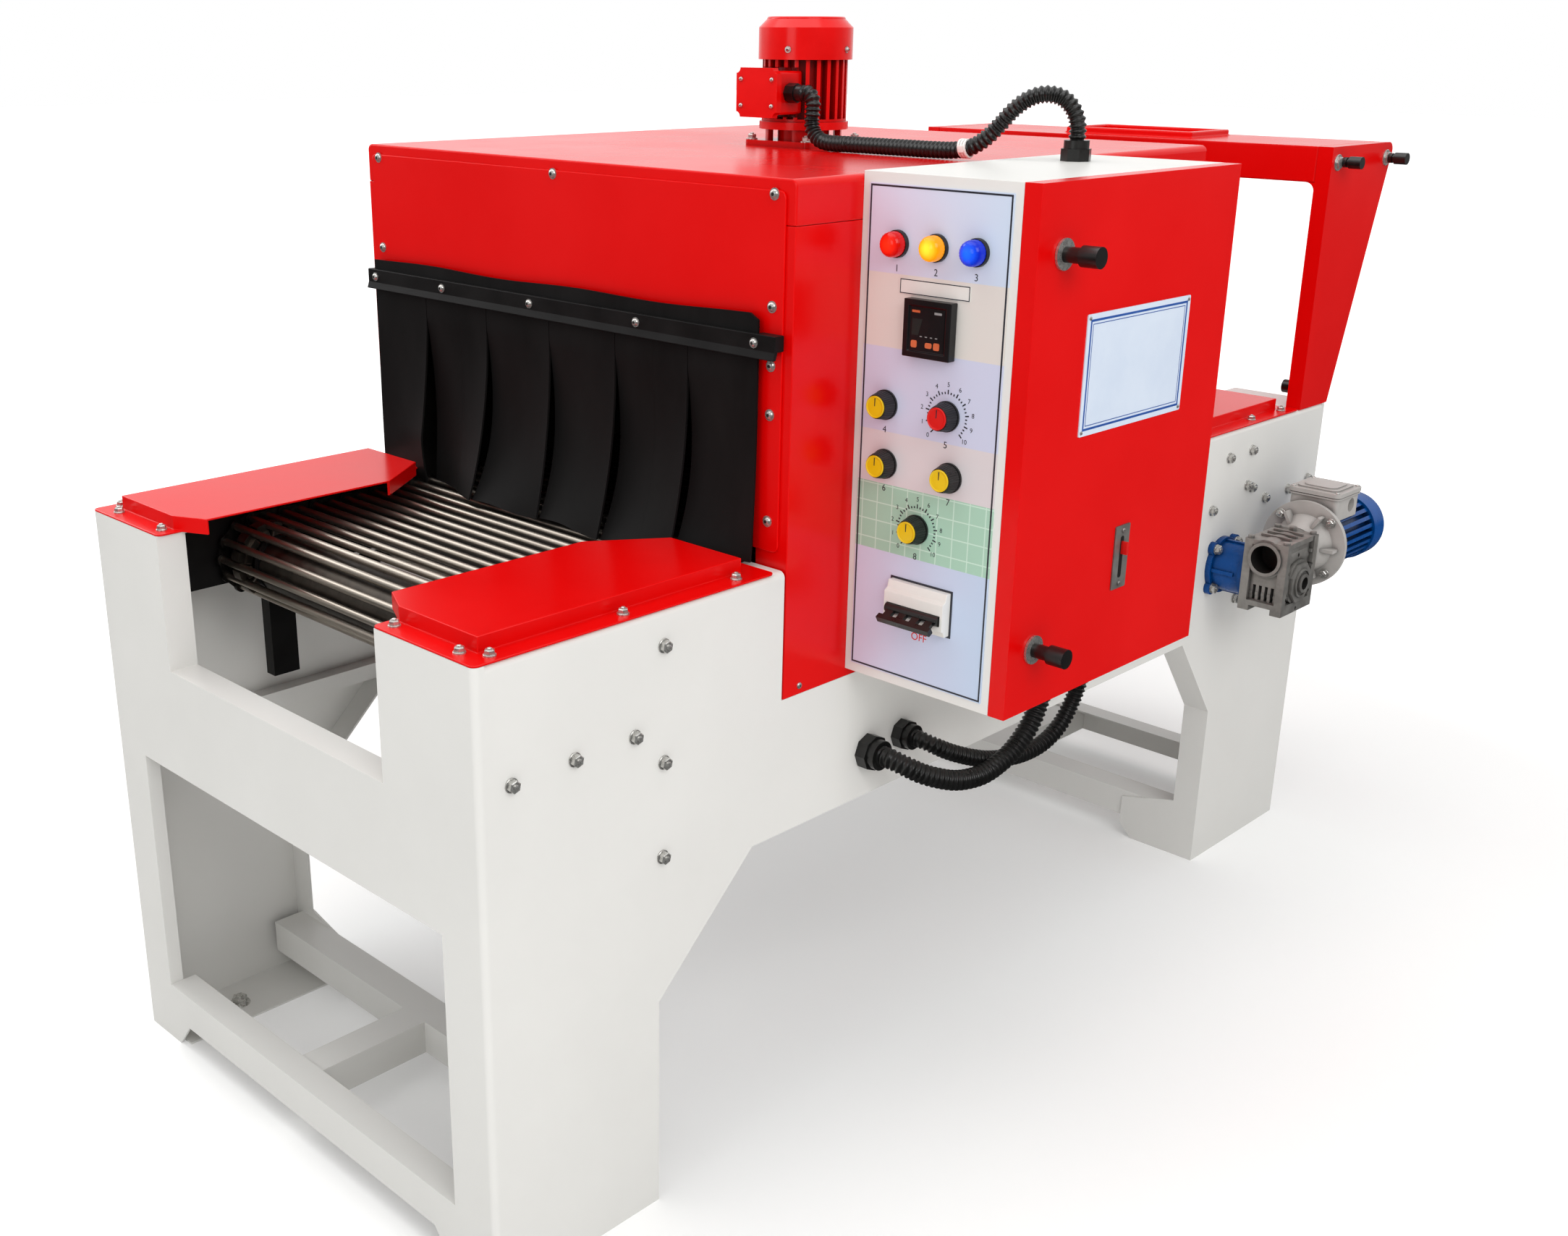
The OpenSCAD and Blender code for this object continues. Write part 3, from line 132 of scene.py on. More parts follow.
def remap(tree, value, given, wanted):
    """The value, brought from one range to another and held within it."""
    ends = {"From Min": given[0], "From Max": given[1], "To Min": wanted[0], "To Max": wanted[1]}
    made = add(tree, "ShaderNodeMapRange", links={"Value": value}, values=ends)
    return made.outputs["Result"]


def ramp(tree, share, *stops):
    """Colour that runs between two stops, each a position and a colour."""
    made = add(tree, "ShaderNodeValToRGB", links={"Fac": share})
    for element, (position, colour) in zip(made.color_ramp.elements, stops):
        element.position = position
        element.color = linear(colour)
    return made.outputs["Color"]


def grain(made, size_mm, depth_mm, stretch=(1, 1, 1)):
    """Fine relief of a surface, as bump."""
    tree = made.node_tree
    relief = {"Height": cloudy(tree, size_mm, stretch, 2.0, 0.5)}
    bump = add(tree, "ShaderNodeBump", links=relief, values={"Distance": depth_mm * MM, "Strength": 1.0})
    feed(made, "Normal", bump.outputs["Normal"])


def mottle(made, size_mm, roughness, colours, stretch=(1, 1, 1)):
    """Slow change of gloss and colour over patches of that size."""
    tree = made.node_tree
    patches = cloudy(tree, size_mm, stretch, 4.0, 0.6)
    feed(made, "Roughness", remap(tree, patches, (0.3, 0.7), roughness))
    feed(made, "Base Color", ramp(tree, patches, (0.35, colours[0]), (0.65, colours[1])))


def painted_corner_shade(made, reach_mm, colour):
    """Painted shade: darker colour in corners and recesses, the less of the surroundings a point sees."""
    tree = made.node_tree
    base = tree.nodes["Principled BSDF"].inputs["Base Color"]
    open_share = add(tree, "ShaderNodeAmbientOcclusion", values={"Distance": reach_mm * MM}, samples=6)
    links = {"Fac": open_share.outputs["AO"], "Color2": base.links[0].from_socket}
    mixed = add(tree, "ShaderNodeMixRGB", links=links, values={"Color1": linear(colour)})
    feed(made, "Base Color", mixed.outputs["Color"])


# Materials


def red_stove_enamel():
    """Stoved gloss enamel on sheet steel: deep red, a faint orange peel, white glare at low angles."""
    made = surface("red_stove_enamel", "#E00404", IOR=1.45, Specular_IOR_Level=0.28)
    grain(made, 5, 0.01)
    mottle(made, 260, (0.2, 0.26), ("#DC0303", "#E20505"))
    return made


def red_casting_paint():
    """The same red sprayed on the blower's castings: glossy, thick on the fins, with painted shade between them.
    """
    made = surface("red_casting_paint", "#E00404", IOR=1.45, Specular_IOR_Level=0.36)
    grain(made, 3, 0.015)
    mottle(made, 60, (0.16, 0.22), ("#DA0303", "#E40505"))
    # Painted shade, deep red, between the fins and in recesses.
    painted_corner_shade(made, 14, "#5E0000")
    return made


def white_powder_coat():
    """Warm white powder coat on folded sheet: satin, with the fine pebble of cured powder."""
    made = surface("white_powder_coat", "#E3E2DE", IOR=1.5, Specular_IOR_Level=0.3)
    grain(made, 2.2, 0.01)
    mottle(made, 220, (0.32, 0.4), ("#E2E1DD", "#E5E4E0"))
    return made


def drawn_steel_bar():
    """Bright drawn bar, browned a little by heat: long draw lines and clean highlights along the bar."""
    made = surface("drawn_steel_bar", "#A79F94", Metallic=1.0)
    grain(made, 1.5, 0.006, stretch=(0.02, 1, 1))
    mottle(made, 30, (0.32, 0.42), ("#9B9388", "#B3AA9F"), stretch=(0.06, 1, 1))
    return made


def oiled_shaft_steel():
    """Turned shafts and sprockets: brown-grey steel under old oil, dull, with painted shade in the corners."""
    made = surface("oiled_shaft_steel", "#5F5952", Metallic=1.0)
    grain(made, 1.5, 0.015)
    mottle(made, 24, (0.36, 0.52), ("#544E48", "#6B645C"))
    # Painted shade, near black, in corners and recesses.
    painted_corner_shade(made, 14, "#1C1917")
    return made


def oiled_chain_steel():
    """Black oxide chain steel with a film of oil."""
    made = surface("oiled_chain_steel", "#2B2927", Metallic=0.9)
    grain(made, 1.5, 0.02)
    mottle(made, 9, (0.28, 0.5), ("#201E1D", "#3A3734"))
    return made


def black_satin_paint():
    """Black paint on bar and sheet, satin, with faint rub marks."""
    made = surface("black_satin_paint", "#141313", IOR=1.5, Specular_IOR_Level=0.14)
    grain(made, 2.5, 0.012)
    mottle(made, 60, (0.36, 0.5), ("#121111", "#181717"))
    return made


def black_rubber_sheet():
    """Calendered rubber sheet: dull black, cloth-fine texture and pale scuffs from passing packs."""
    made = surface("black_rubber_sheet", "#151414", IOR=1.52, Specular_IOR_Level=0.08)
    grain(made, 1.8, 0.02)
    mottle(made, 90, (0.44, 0.58), ("#131212", "#1A1919"), stretch=(1, 1, 0.35))
    return made


def black_nylon():
    """Moulded black polyamide of conduits and glands: half gloss, slightly uneven."""
    made = surface("black_nylon", "#121211", IOR=1.53, Specular_IOR_Level=0.42)
    grain(made, 1.4, 0.015)
    mottle(made, 25, (0.26, 0.36), ("#10100F", "#171716"))
    return made


def black_phenolic():
    """Pressed black phenolic of knobs and latches: smooth, with a soft shine."""
    made = surface("black_phenolic", "#111010", IOR=1.6, Specular_IOR_Level=0.4)
    grain(made, 2, 0.006)
    mottle(made, 20, (0.26, 0.36), ("#0F0E0E", "#151413"))
    return made


def die_cast_aluminium():
    """Pressure die-cast aluminium: dull silver grey with the sandy skin of the die."""
    made = surface("die_cast_aluminium", "#9E9C98", Metallic=0.7)
    grain(made, 1.8, 0.04)
    mottle(made, 18, (0.38, 0.52), ("#93918D", "#A9A7A3"))
    # Painted shade, near black, in corners and recesses.
    painted_corner_shade(made, 6, "#1B1A18")
    return made


def grey_machine_paint():
    """Light grey machine paint over a sand casting: even colour, soft pebble."""
    made = surface("grey_machine_paint", "#B4B1AD", IOR=1.5)
    grain(made, 2.4, 0.03)
    mottle(made, 40, (0.38, 0.48), ("#AFACA8", "#B9B6B2"))
    # Painted shade, dark grey, in corners and recesses.
    painted_corner_shade(made, 10, "#3A3835")
    return made


def blue_machine_paint():
    """Blue gloss machine paint over cast fins."""
    made = surface("blue_machine_paint", "#00468C", IOR=1.5, Specular_IOR_Level=0.25)
    grain(made, 2.6, 0.03)
    mottle(made, 40, (0.22, 0.32), ("#004285", "#004C96"))
    # Painted shade, dark blue, between the fins and in recesses.
    painted_corner_shade(made, 12, "#03152F")
    return made


def zinc_plate():
    """Zinc-plated fasteners: pale blue-grey metal, a little cloudy."""
    made = surface("zinc_plate", "#C6C5C1", Metallic=0.8)
    grain(made, 0.9, 0.008)
    mottle(made, 4, (0.22, 0.36), ("#B6B5B1", "#D2D1CD"))
    return made


def chamber_steel_painted_shade():
    """Bare steel of the heated chamber, made near black as painted shade of the unlit chamber: browned in patches
    and dull.
    """
    made = surface("chamber_steel_painted_shade", "#1B1816", Metallic=0.4)
    grain(made, 4, 0.02)
    mottle(made, 70, (0.5, 0.65), ("#151311", "#221E1B"))
    return made


def painted_socket_shade():
    """Painted shade inside screw sockets and cross recesses, in the gearbox's bores and in the lever's slot:
    near-black, unlit steel.
    """
    made = surface("painted_socket_shade", "#2A2927", Metallic=0.6)
    mottle(made, 1, (0.5, 0.7), ("#232220", "#363432"))
    return made


def coloured_abs(name, colour, pale):
    """Half-gloss coloured ABS or print of a small piece, very slightly paler in places."""
    made = surface(name, colour, IOR=1.53, Specular_IOR_Level=0.4)
    grain(made, 3, 0.004)
    mottle(made, 60, (0.28, 0.34), (colour, pale))
    return made


LENS_RADIUS = 15


def lit_lens(name, edge, core, glow):
    """Tinted polycarbonate lens with its lamp lit behind it: brightest at the middle of the dome."""
    made = surface(name, edge, Specular_IOR_Level=0.3, Roughness=0.12, Emission_Strength=glow)
    tree = made.node_tree
    links = {"Vector": scaled(tree, (per_metre(LENS_RADIUS),) * 3)}
    radial = add(tree, "ShaderNodeTexGradient", links=links, gradient_type="SPHERICAL")
    tint = ramp(tree, radial.outputs["Fac"], (0.12, edge), (0.5, core))
    feed(made, "Base Color", tint)
    feed(made, "Emission Color", tint)
    return made


# Height at which each printed band of the fascia ends, from the top, and its colour at the left and right
FASCIA_BANDS = [
    (1102, "#DCD6EA", "#CBD9EC"),
    (1019, "#E3DCD5", "#DCD7D1"),
    (922, "#D5D6EC", "#CBD0E6"),
    (860, "#E0D9DB", "#D8D1D3"),
    (779, "#A6CDB6", "#A9CFB9"),
    (0, "#D5D2E8", "#C1D1E8"),
]
FASCIA_SIDES = (420, 600)
GRID_BAND = (779, 860)
GRID_STEP = 11
GRID_LINE = 0.7


def printed_film():
    """Back-printed polyester film: soft coloured bands, a white grid on the green one, a low gloss."""
    made = surface("printed_film", "#CFCFE3", IOR=1.57, Specular_IOR_Level=0.25, Roughness=0.32)
    tree = made.node_tree
    axes = add(tree, "ShaderNodeSeparateXYZ", links={"Vector": place(tree)})
    across = remap(tree, axes.outputs["X"], [side * MM for side in FASCIA_SIDES], (0, 1))

    def compare(value, limit, operation):
        node = add(tree, "ShaderNodeMath", links={0: value}, values={1: limit * MM}, operation=operation)
        return node.outputs[0]

    def join(first, second, operation):
        node = add(tree, "ShaderNodeMath", links={0: first, 1: second}, operation=operation)
        return node.outputs[0]

    painted = None
    edge = None
    for end, left, right in FASCIA_BANDS:
        sides = {"Color1": linear(left), "Color2": linear(right)}
        band = add(tree, "ShaderNodeMixRGB", links={"Fac": across}, values=sides)
        if painted:
            above, below = painted.outputs["Color"], band.outputs["Color"]
            links = {"Fac": edge, "Color1": above, "Color2": below}
            band = add(tree, "ShaderNodeMixRGB", links=links)
        painted = band
        edge = compare(axes.outputs["Z"], end, "LESS_THAN")

    lines = []
    for axis in ("X", "Z"):
        wave = compare(axes.outputs[axis], GRID_STEP, "PINGPONG")
        lines.append(compare(wave, GRID_LINE, "LESS_THAN"))
    low = compare(axes.outputs["Z"], GRID_BAND[0], "GREATER_THAN")
    high = compare(axes.outputs["Z"], GRID_BAND[1], "LESS_THAN")
    shown = join(join(low, high, "MULTIPLY"), join(*lines, "MAXIMUM"), "MULTIPLY")
    links = {"Fac": shown, "Color1": painted.outputs["Color"]}
    gridded = add(tree, "ShaderNodeMixRGB", links=links, values={"Color2": linear("#C9E4D3")})
    feed(made, "Base Color", gridded.outputs["Color"])
    grain(made, 3, 0.004)
    return made


RED = red_stove_enamel()
RED_CAST = red_casting_paint()
WHITE = white_powder_coat()
BAR = drawn_steel_bar()
SHAFT = oiled_shaft_steel()
CHAIN = oiled_chain_steel()
BLACK = black_satin_paint()
RUBBER = black_rubber_sheet()
NYLON = black_nylon()
PHENOLIC = black_phenolic()
CAST = die_cast_aluminium()
GREY = grey_machine_paint()
BLUE = blue_machine_paint()
ZINC = zinc_plate()
CHAMBER_SHADE = chamber_steel_painted_shade()
SOCKET_SHADE = painted_socket_shade()
FILM = printed_film()
YELLOW = coloured_abs("yellow_abs", "#E3BC10", "#E9C51A")
CAP_RED = coloured_abs("red_abs", "#D4100C", "#DA1813")
IVORY = coloured_abs("white_abs", "#E4E2DC", "#E8E6E1")
INK_AND_GAP_SHADE = coloured_abs("dark_print_and_gap_shade", "#23252E", "#2C2F3A")
GLASS = coloured_abs("smoked_acrylic", "#0E0E0F", "#131315")
PLATE = coloured_abs("printed_plate", "#D3DFF0", "#D9E4F3")
BLUE_INK = coloured_abs("blue_print", "#1E4C9A", "#2A59A8")
ORANGE = coloured_abs("orange_print", "#C2562E", "#D06A40")
TIE = coloured_abs("natural_nylon", "#E9E7E2", "#F2F1ED")
PALE_MARK = coloured_abs("pale_print", "#8C8C8C", "#959595")
DIM_SCREEN = coloured_abs("unlit_screen", "#1C2220", "#222927")
LENSES = [
    lit_lens("red_lens", "#B00404", "#FF2A12", 0.5),
    lit_lens("amber_lens", "#D88600", "#FFD030", 0.6),
    lit_lens("blue_lens", "#0622A8", "#1C60FF", 0.5),
]

FINISH = {
    "white_enamel": WHITE,
    "red_enamel": RED,
    "bright_steel": BAR,
    "black_steel": BLACK,
    "black_rubber": RUBBER,
    "black_plastic": PHENOLIC,
    "white_plastic": IVORY,
    "lamp_plastic": INK_AND_GAP_SHADE,
    "fascia_film": FILM,
    "blue_enamel": BLUE,
    "cast_grey": CAST,
}
SPECIAL = {
    "front_shaft": SHAFT,
    "rear_shaft": SHAFT,
    "drive_shaft": SHAFT,
    "blower_motor": RED_CAST,
    "blower_cowl": RED_CAST,
    "blower_terminal_box": RED_CAST,
    "conveyor_chains": CHAIN,
    "motor_flange": GREY,
    "motor_terminal_box": GREY,
    "conduit_glands": NYLON,
    "temperature_controller": GLASS,
}


# Dressing of the solid pieces

MOUTH_PARTS = ("front_mouth_plate", "rear_mouth_plate", "front_clamp_bar", "rear_clamp_bar")
WALLS_AND_COVERS = ("hood_left_wall", "hood_right_wall", "front_guard_covers", "rear_guard_covers")
# Pieces by the width, in mm, to which their edges are rounded
EDGES = {
    0.8: MOUTH_PARTS + ("breaker_body", "breaker_toggle"),
    1.0: WALLS_AND_COVERS + ("temperature_controller",),
    1.2: ("control_box", "gearbox"),
    2.0: ("hood_top", "motor_terminal_box", "blower_terminal_box"),
    2.2: ("control_door",),
    2.5: ("gantry_uprights", "gantry_beam"),
}


def soften_edges(obj, width_mm):
    """Rounds the sharp edges of a solid piece, so that they catch the light as bent or cast edges do."""
    weld = obj.modifiers.new("weld", "WELD")
    weld.merge_threshold = 0.02 * MM
    flat = obj.modifiers.new("flat", "DECIMATE")
    flat.decimate_type = "DISSOLVE"
    flat.angle_limit = math.radians(1)
    bevel = obj.modifiers.new("edge", "BEVEL")
    bevel.width = width_mm * MM
    bevel.segments = 2
    bevel.limit_method = "ANGLE"
    bevel.angle_limit = math.radians(35)
    even = obj.modifiers.new("even", "WEIGHTED_NORMAL")
    even.keep_sharp = True


def dress_nodes():
    """Gives every solid piece its finish, and round edges where they catch the light."""
    slot_of = {p["node"]: p["material_slot"] for p in frame["record"]["subparts"]}
    for name, obj in nodes.items():
        obj.data.materials.clear()
        obj.data.materials.append(SPECIAL.get(name) or FINISH[slot_of[name]])
    for width_mm, names in EDGES.items():
        for name in names:
            soften_edges(nodes[name], width_mm)


def second_finish(name, finish, where):
    """Gives the faces of a node whose centre passes a test another finish."""
    obj = nodes[name]
    obj.data.materials.append(finish)
    for face in obj.data.polygons:
        if where(face.center):
            face.material_index = len(obj.data.materials) - 1


# Bores of the gearbox, whose inner faces get painted shade: the middle of the mouth, then radius and depth
WORM_BORE = ((500, 545, 586.7), 22.3, 48)
OUTPUT_BORE = ((546, 597.8, 546.7), 10.3, 44)
BOX_DEPTH = 414
LATCH_WASHER = 3.1


def in_bore(bore, spot, axis):
    """Whether a place lies in a bore that runs along the axis of that index."""
    mouth, radius, depth = bore
    offset = spot - mm(*mouth)
    across = [offset[i] for i in range(3) if i != axis]
    return math.hypot(*across) < radius * MM and offset.length < depth * MM


def inner_faces():
    """Second finishes: painted shade on the chamber's inner faces and in the gearbox's bores, zinc on the hinges
    and the latches' washers.
    """
    inner_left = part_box("hood_left_wall")[1].x - MM
    inner_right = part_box("hood_right_wall")[0].x + MM
    inner_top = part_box("hood_top")[0].z + MM
    # Painted shade: the inner faces of the walls and top take the near-black chamber steel.
    second_finish("hood_left_wall", CHAMBER_SHADE, lambda c: c.x > inner_left)
    second_finish("hood_right_wall", CHAMBER_SHADE, lambda c: c.x < inner_right)
    second_finish("hood_top", CHAMBER_SHADE, lambda c: c.z < inner_top)
    low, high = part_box("gearbox")
    # Painted shade on the faces inside the worm bore and the output bore.
    second_finish("gearbox", SOCKET_SHADE, lambda c: c.y > low.y + MM and in_bore(WORM_BORE, c, 1))
    second_finish("gearbox", SOCKET_SHADE, lambda c: c.x < high.x - MM and in_bore(OUTPUT_BORE, c, 0))
    hinge_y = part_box("fascia")[1].y + (BOX_DEPTH + 0.6) * MM
    for name in ("control_box", "control_door"):
        second_finish(name, ZINC, lambda c: c.y > hinge_y)
    washer_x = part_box("control_door")[1].x + LATCH_WASHER * MM
    for name in ("upper_latch", "lower_latch"):
        second_finish(name, ZINC, lambda c: c.x < washer_x)


# Mesh helpers

# Directions across, up and out of the fascia
RIGHT, UP, TOWARDS = Vector((1, 0, 0)), Vector((0, 0, 1)), Vector((0, -1, 0))


def middle(node, **given):
    """Middle of a node's box, but for the coordinates that are given."""
    low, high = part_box(node)
    at = (low + high) / 2
    for axis, value in given.items():
        setattr(at, axis, value)
    return at


def inside(low, high, inset):
    """Two places, that many mm inside two limits."""
    return low + inset * MM, high - inset * MM


def placed(name, data):
    """A new object in the scene."""
    made = bpy.data.objects.new(name, data)
    bpy.context.scene.collection.objects.link(made)
    return made


def piece(name, bm, finishes, body="frame", slot=None, smooth_deg=40):
    """Makes one piece of a mesh, which rides on a body unless none is given."""
    mesh = bpy.data.meshes.new(name)
    bmesh.ops.recalc_face_normals(bm, faces=bm.faces[:])
    bm.to_mesh(mesh)
    bm.free()
    for finish in finishes if isinstance(finishes, (list, tuple)) else [finishes]:
        mesh.materials.append(finish)
    mesh.polygons.foreach_set("use_smooth", [True] * len(mesh.polygons))
    mesh.set_sharp_from_angle(angle=math.radians(smooth_deg))
    obj = placed(name, mesh)
    if body:
        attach(obj, body)
    return obj


def loft(bm, rings, finish=0):
    """Adds the skin through rings of points, closed at both ends."""
    faces = []
    for low, high in zip(rings, rings[1:]):
        for i in range(len(low)):
            j = (i + 1) % len(low)
            faces.append(bm.faces.new((low[i], low[j], high[j], high[i])))
    faces += [bm.faces.new(rings[0][::-1]), bm.faces.new(rings[-1])]
    for face in faces:
        face.material_index = finish


def turned(bm, at, axis, profile, sides=24, finish=0, phase=0.0, flute=0.0):
    """Adds a solid turned about an axis; the profile is (radius, height) in mm, outwards from its seat.

    A flute draws every other line of the surface in by that depth.
    """
    turn = Vector(axis).to_track_quat("Z", "Y").to_matrix()
    rings = []
    for radius, height in profile:
        ring = []
        for i in range(sides):
            a = phase + 2 * math.pi * i / sides
            r = radius - flute * (i % 2)
            spot = mm(r * math.cos(a), r * math.sin(a), height)
            ring.append(bm.verts.new(Vector(at) + turn @ spot))
        rings.append(ring)
    loft(bm, rings, finish)


def slab(bm, low, high, edge, finish=0):
    """Adds a box between two corners in mm, with its edges rounded."""
    low, high = mm(*low), mm(*high)
    shape = Matrix.Translation((low + high) / 2) @ Matrix.Diagonal((*(high - low), 1))
    made = bmesh.ops.create_cube(bm, size=1, matrix=shape)
    for face in {f for v in made["verts"] for f in v.link_faces}:
        face.material_index = finish
    edges = {e for v in made["verts"] for e in v.link_edges}
    round_off = {"offset": edge * MM, "segments": 2, "affect": "EDGES", "profile": 0.5}
    bmesh.ops.bevel(bm, geom=list(edges), material=finish, **round_off)


def plate(bm, outline, origin, thickness, finish=0, right=RIGHT, up=UP):
    """Adds a flat plate: outline in mm along right and up from an origin, raised by its thickness."""
    out = right.cross(up)
    low = [bm.verts.new(Vector(origin) + (right * a + up * b) * MM) for a, b in outline]
    high = [bm.verts.new(v.co + out * thickness * MM) for v in low]
    loft(bm, [low, high], finish)


def round_rect(width, height, radius, steps=5):
    """Outline of a rectangle with round corners, about its middle."""
    points = []
    for k, (sx, sy) in enumerate([(1, -1), (1, 1), (-1, 1), (-1, -1)]):
        x, y = sx * (width / 2 - radius), sy * (height / 2 - radius)
        for i in range(steps + 1):
            a = math.radians(-90 + 90 * k + 90 * i / steps)
            points.append((x + radius * math.cos(a), y + radius * math.sin(a)))
    return points


def frame_lines(bm, width, height, line, origin, thickness, finish=0, **along):
    """Adds a thin rectangle of lines of that width, as print and, round the breaker, as painted shade."""
    w, h = width / 2, height / 2
    for x0, x1, y0, y1 in [
        (-w, w, h - line, h),
        (-w, w, -h, -h + line),
        (-w, -w + line, -h + line, h - line),
        (w - line, w, -h + line, h - line),
    ]:
        plate(bm, [(x0, y0), (x1, y0), (x1, y1), (x0, y1)], origin, thickness, finish, **along)


def hex_bolt(bm, at, axis, across=13.0, washer=17.0):
    """Hexagon bolt head with a chamfered top on a flat washer."""
    turned(bm, at, axis, [(washer / 2, -0.5), (washer / 2, 1.4), (washer / 2 - 0.4, 1.8)], 24)
    r = across / 2 / math.cos(math.pi / 6)
    top = across * 0.5 + 1.8
    turned(bm, at, axis, [(r, 1.7), (r, top - 1), (r - 1.2, top)], 6, phase=0.3)
    thread, tip = across * 0.26, across * 0.18
    turned(bm, at, axis, [(thread, top - 0.2), (thread, top + 1.2), (tip, top + 1.8)], 12)


def button_screw(bm, at, axis, diameter=11.0):
    """Button-head screw on a thin washer; its hexagon socket is a disc of painted shade."""
    r = diameter / 2
    turned(bm, at, axis, [(r + 1.2, -0.5), (r + 1.2, 1.0)], 24)
    dome = [(r, 0.9), (r * 0.97, 1.6), (r * 0.84, 2.8), (r * 0.62, 3.6), (r * 0.45, 3.9)]
    turned(bm, at, axis, dome, 20)
    turned(bm, at, axis, [(r * 0.4, 3.6), (r * 0.4, 4.0)], 6, finish=1)


def pan_screw(bm, at, axis, diameter=7.0):
    """Small pan-head screw; its cross recess is a small mark of painted shade."""
    r = diameter / 2
    turned(bm, at, axis, [(r, -0.3), (r, 1.0), (r * 0.8, 1.9), (r * 0.4, 2.3)], 16)
    turned(bm, at, axis, [(r * 0.34, 2.2), (r * 0.3, 2.4)], 4, finish=1)


# Conduits: corrugated nylon along listed routes, in mm

HEATER_ROUTE = [
    (426, -294, 490), (441, -294, 490), (458, -287, 484), (472, -272, 474), (484, -254, 466),
    (494, -232, 459), (501, -208, 456), (506, -184, 457), (509, -160, 463), (512, -137, 473),
    (514, -116, 488), (515, -98, 506), (515, -84, 528), (515, -74, 552), (515, -68, 575),
    (515, -68, 592),
]
MOTOR_ROUTE = [
    (424, -225, 494), (437, -225, 494), (450, -218, 489), (460, -203, 480), (468, -186, 472),
    (475, -166, 464), (481, -144, 457), (486, -120, 452), (491, -96, 449), (495, -72, 449),
    (499, -48, 453), (502, -26, 462), (504, -6, 476), (505, 10, 495), (506, 22, 517),
    (507, 30, 541), (507, 35, 568), (507, 35, 592),
]
BLOWER_ROUTE = [
    (81, -88, 1279), (90, -88, 1279), (98, -89, 1270), (99, -90, 1256), (99, -91, 1242),
    (104, -92, 1230), (116, -93, 1221), (134, -94, 1218), (165, -95, 1218), (200, -95, 1218),
    (235, -95, 1218), (270, -95, 1218), (305, -95, 1218), (338, -94, 1219), (362, -92, 1224),
    (380, -87, 1236), (394, -81, 1252), (408, -75, 1269), (424, -67, 1282), (441, -59, 1287),
    (457, -51, 1284), (469, -46, 1274), (476, -43, 1260), (478, -42, 1247), (478, -42, 1235),
]


def smooth_line(points, step):
    """Evenly spaced points, in metres, on a smooth curve through the route's points."""
    route = [mm(*p) for p in points]
    ends = [route[0] * 2 - route[1]] + route + [route[-1] * 2 - route[-2]]
    fine = []
    for a, b, c, d in zip(ends, ends[1:], ends[2:], ends[3:]):
        for i in range(12):
            t = i / 12
            squared, cubed = 2 * a - 5 * b + 4 * c - d, 3 * b - a - 3 * c + d
            fine.append(0.5 * (2 * b + (c - a) * t + squared * t**2 + cubed * t**3))
    fine.append(route[-1])
    spaced, left = [fine[0]], step
    for a, b in zip(fine, fine[1:]):
        gap = (b - a).length
        along = 0.0
        while gap - along >= left:
            along += left
            spaced.append(a.lerp(b, along / gap))
            left = step
        left -= gap - along
    spaced.append(fine[-1])
    return spaced


RING_SHAPE = (1.0, 1.0, 0.5, 0.0, 0.0, 0.5)
RING_DEPTH = 2.2


def conduit(name, route, diameter, pitch):
    """Corrugated tube along a route, its rings a little wider apart than real ones so that they show."""
    steps = len(RING_SHAPE)
    line = smooth_line(route, pitch * MM / steps)
    sides = 20
    bm = bmesh.new()
    up = UP if abs((line[1] - line[0]).normalized().z) < 0.9 else RIGHT
    rings = []
    for i, spot in enumerate(line):
        ahead = (line[min(i + 1, len(line) - 1)] - line[max(i - 1, 0)]).normalized()
        side = ahead.cross(up).normalized()
        up = side.cross(ahead).normalized()
        radius = (diameter / 2 - RING_DEPTH * (1 - RING_SHAPE[i % steps])) * MM
        ring = []
        for k in range(sides):
            a = 2 * math.pi * k / sides
            ring.append(bm.verts.new(spot + (side * math.cos(a) + up * math.sin(a)) * radius))
        rings.append(ring)
    loft(bm, rings)
    made = piece(name + "_tube", bm, NYLON, slot="black_plastic", smooth_deg=45)
    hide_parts(name)


TIE_RADIUS = 11.4


def cable_tie():
    """Three wraps of white tie round the blower conduit where it leaves the hood."""
    bm = bmesh.new()
    wrap = [(TIE_RADIUS, -1.6), (TIE_RADIUS + 0.6, -0.8), (TIE_RADIUS + 0.6, 0.8), (TIE_RADIUS, 1.6)]
    for i in range(3):
        turned(bm, mm(349 + i * 4.2, -93.5, 1221.5), (0.97, 0.08, 0.2), wrap, 24)
    slab(bm, (352, -108, 1217), (358, -103, 1226), 1)
    piece("cable_tie", bm, TIE)


# Drums of the conveyor's ends

DRUM_RADIUS = 38
DRUM_FROM_ROD_END = 72
COLLAR = 10
TAB = (34, 15, 9)
TAB_FROM_ROD_END = 13
TABS = 12


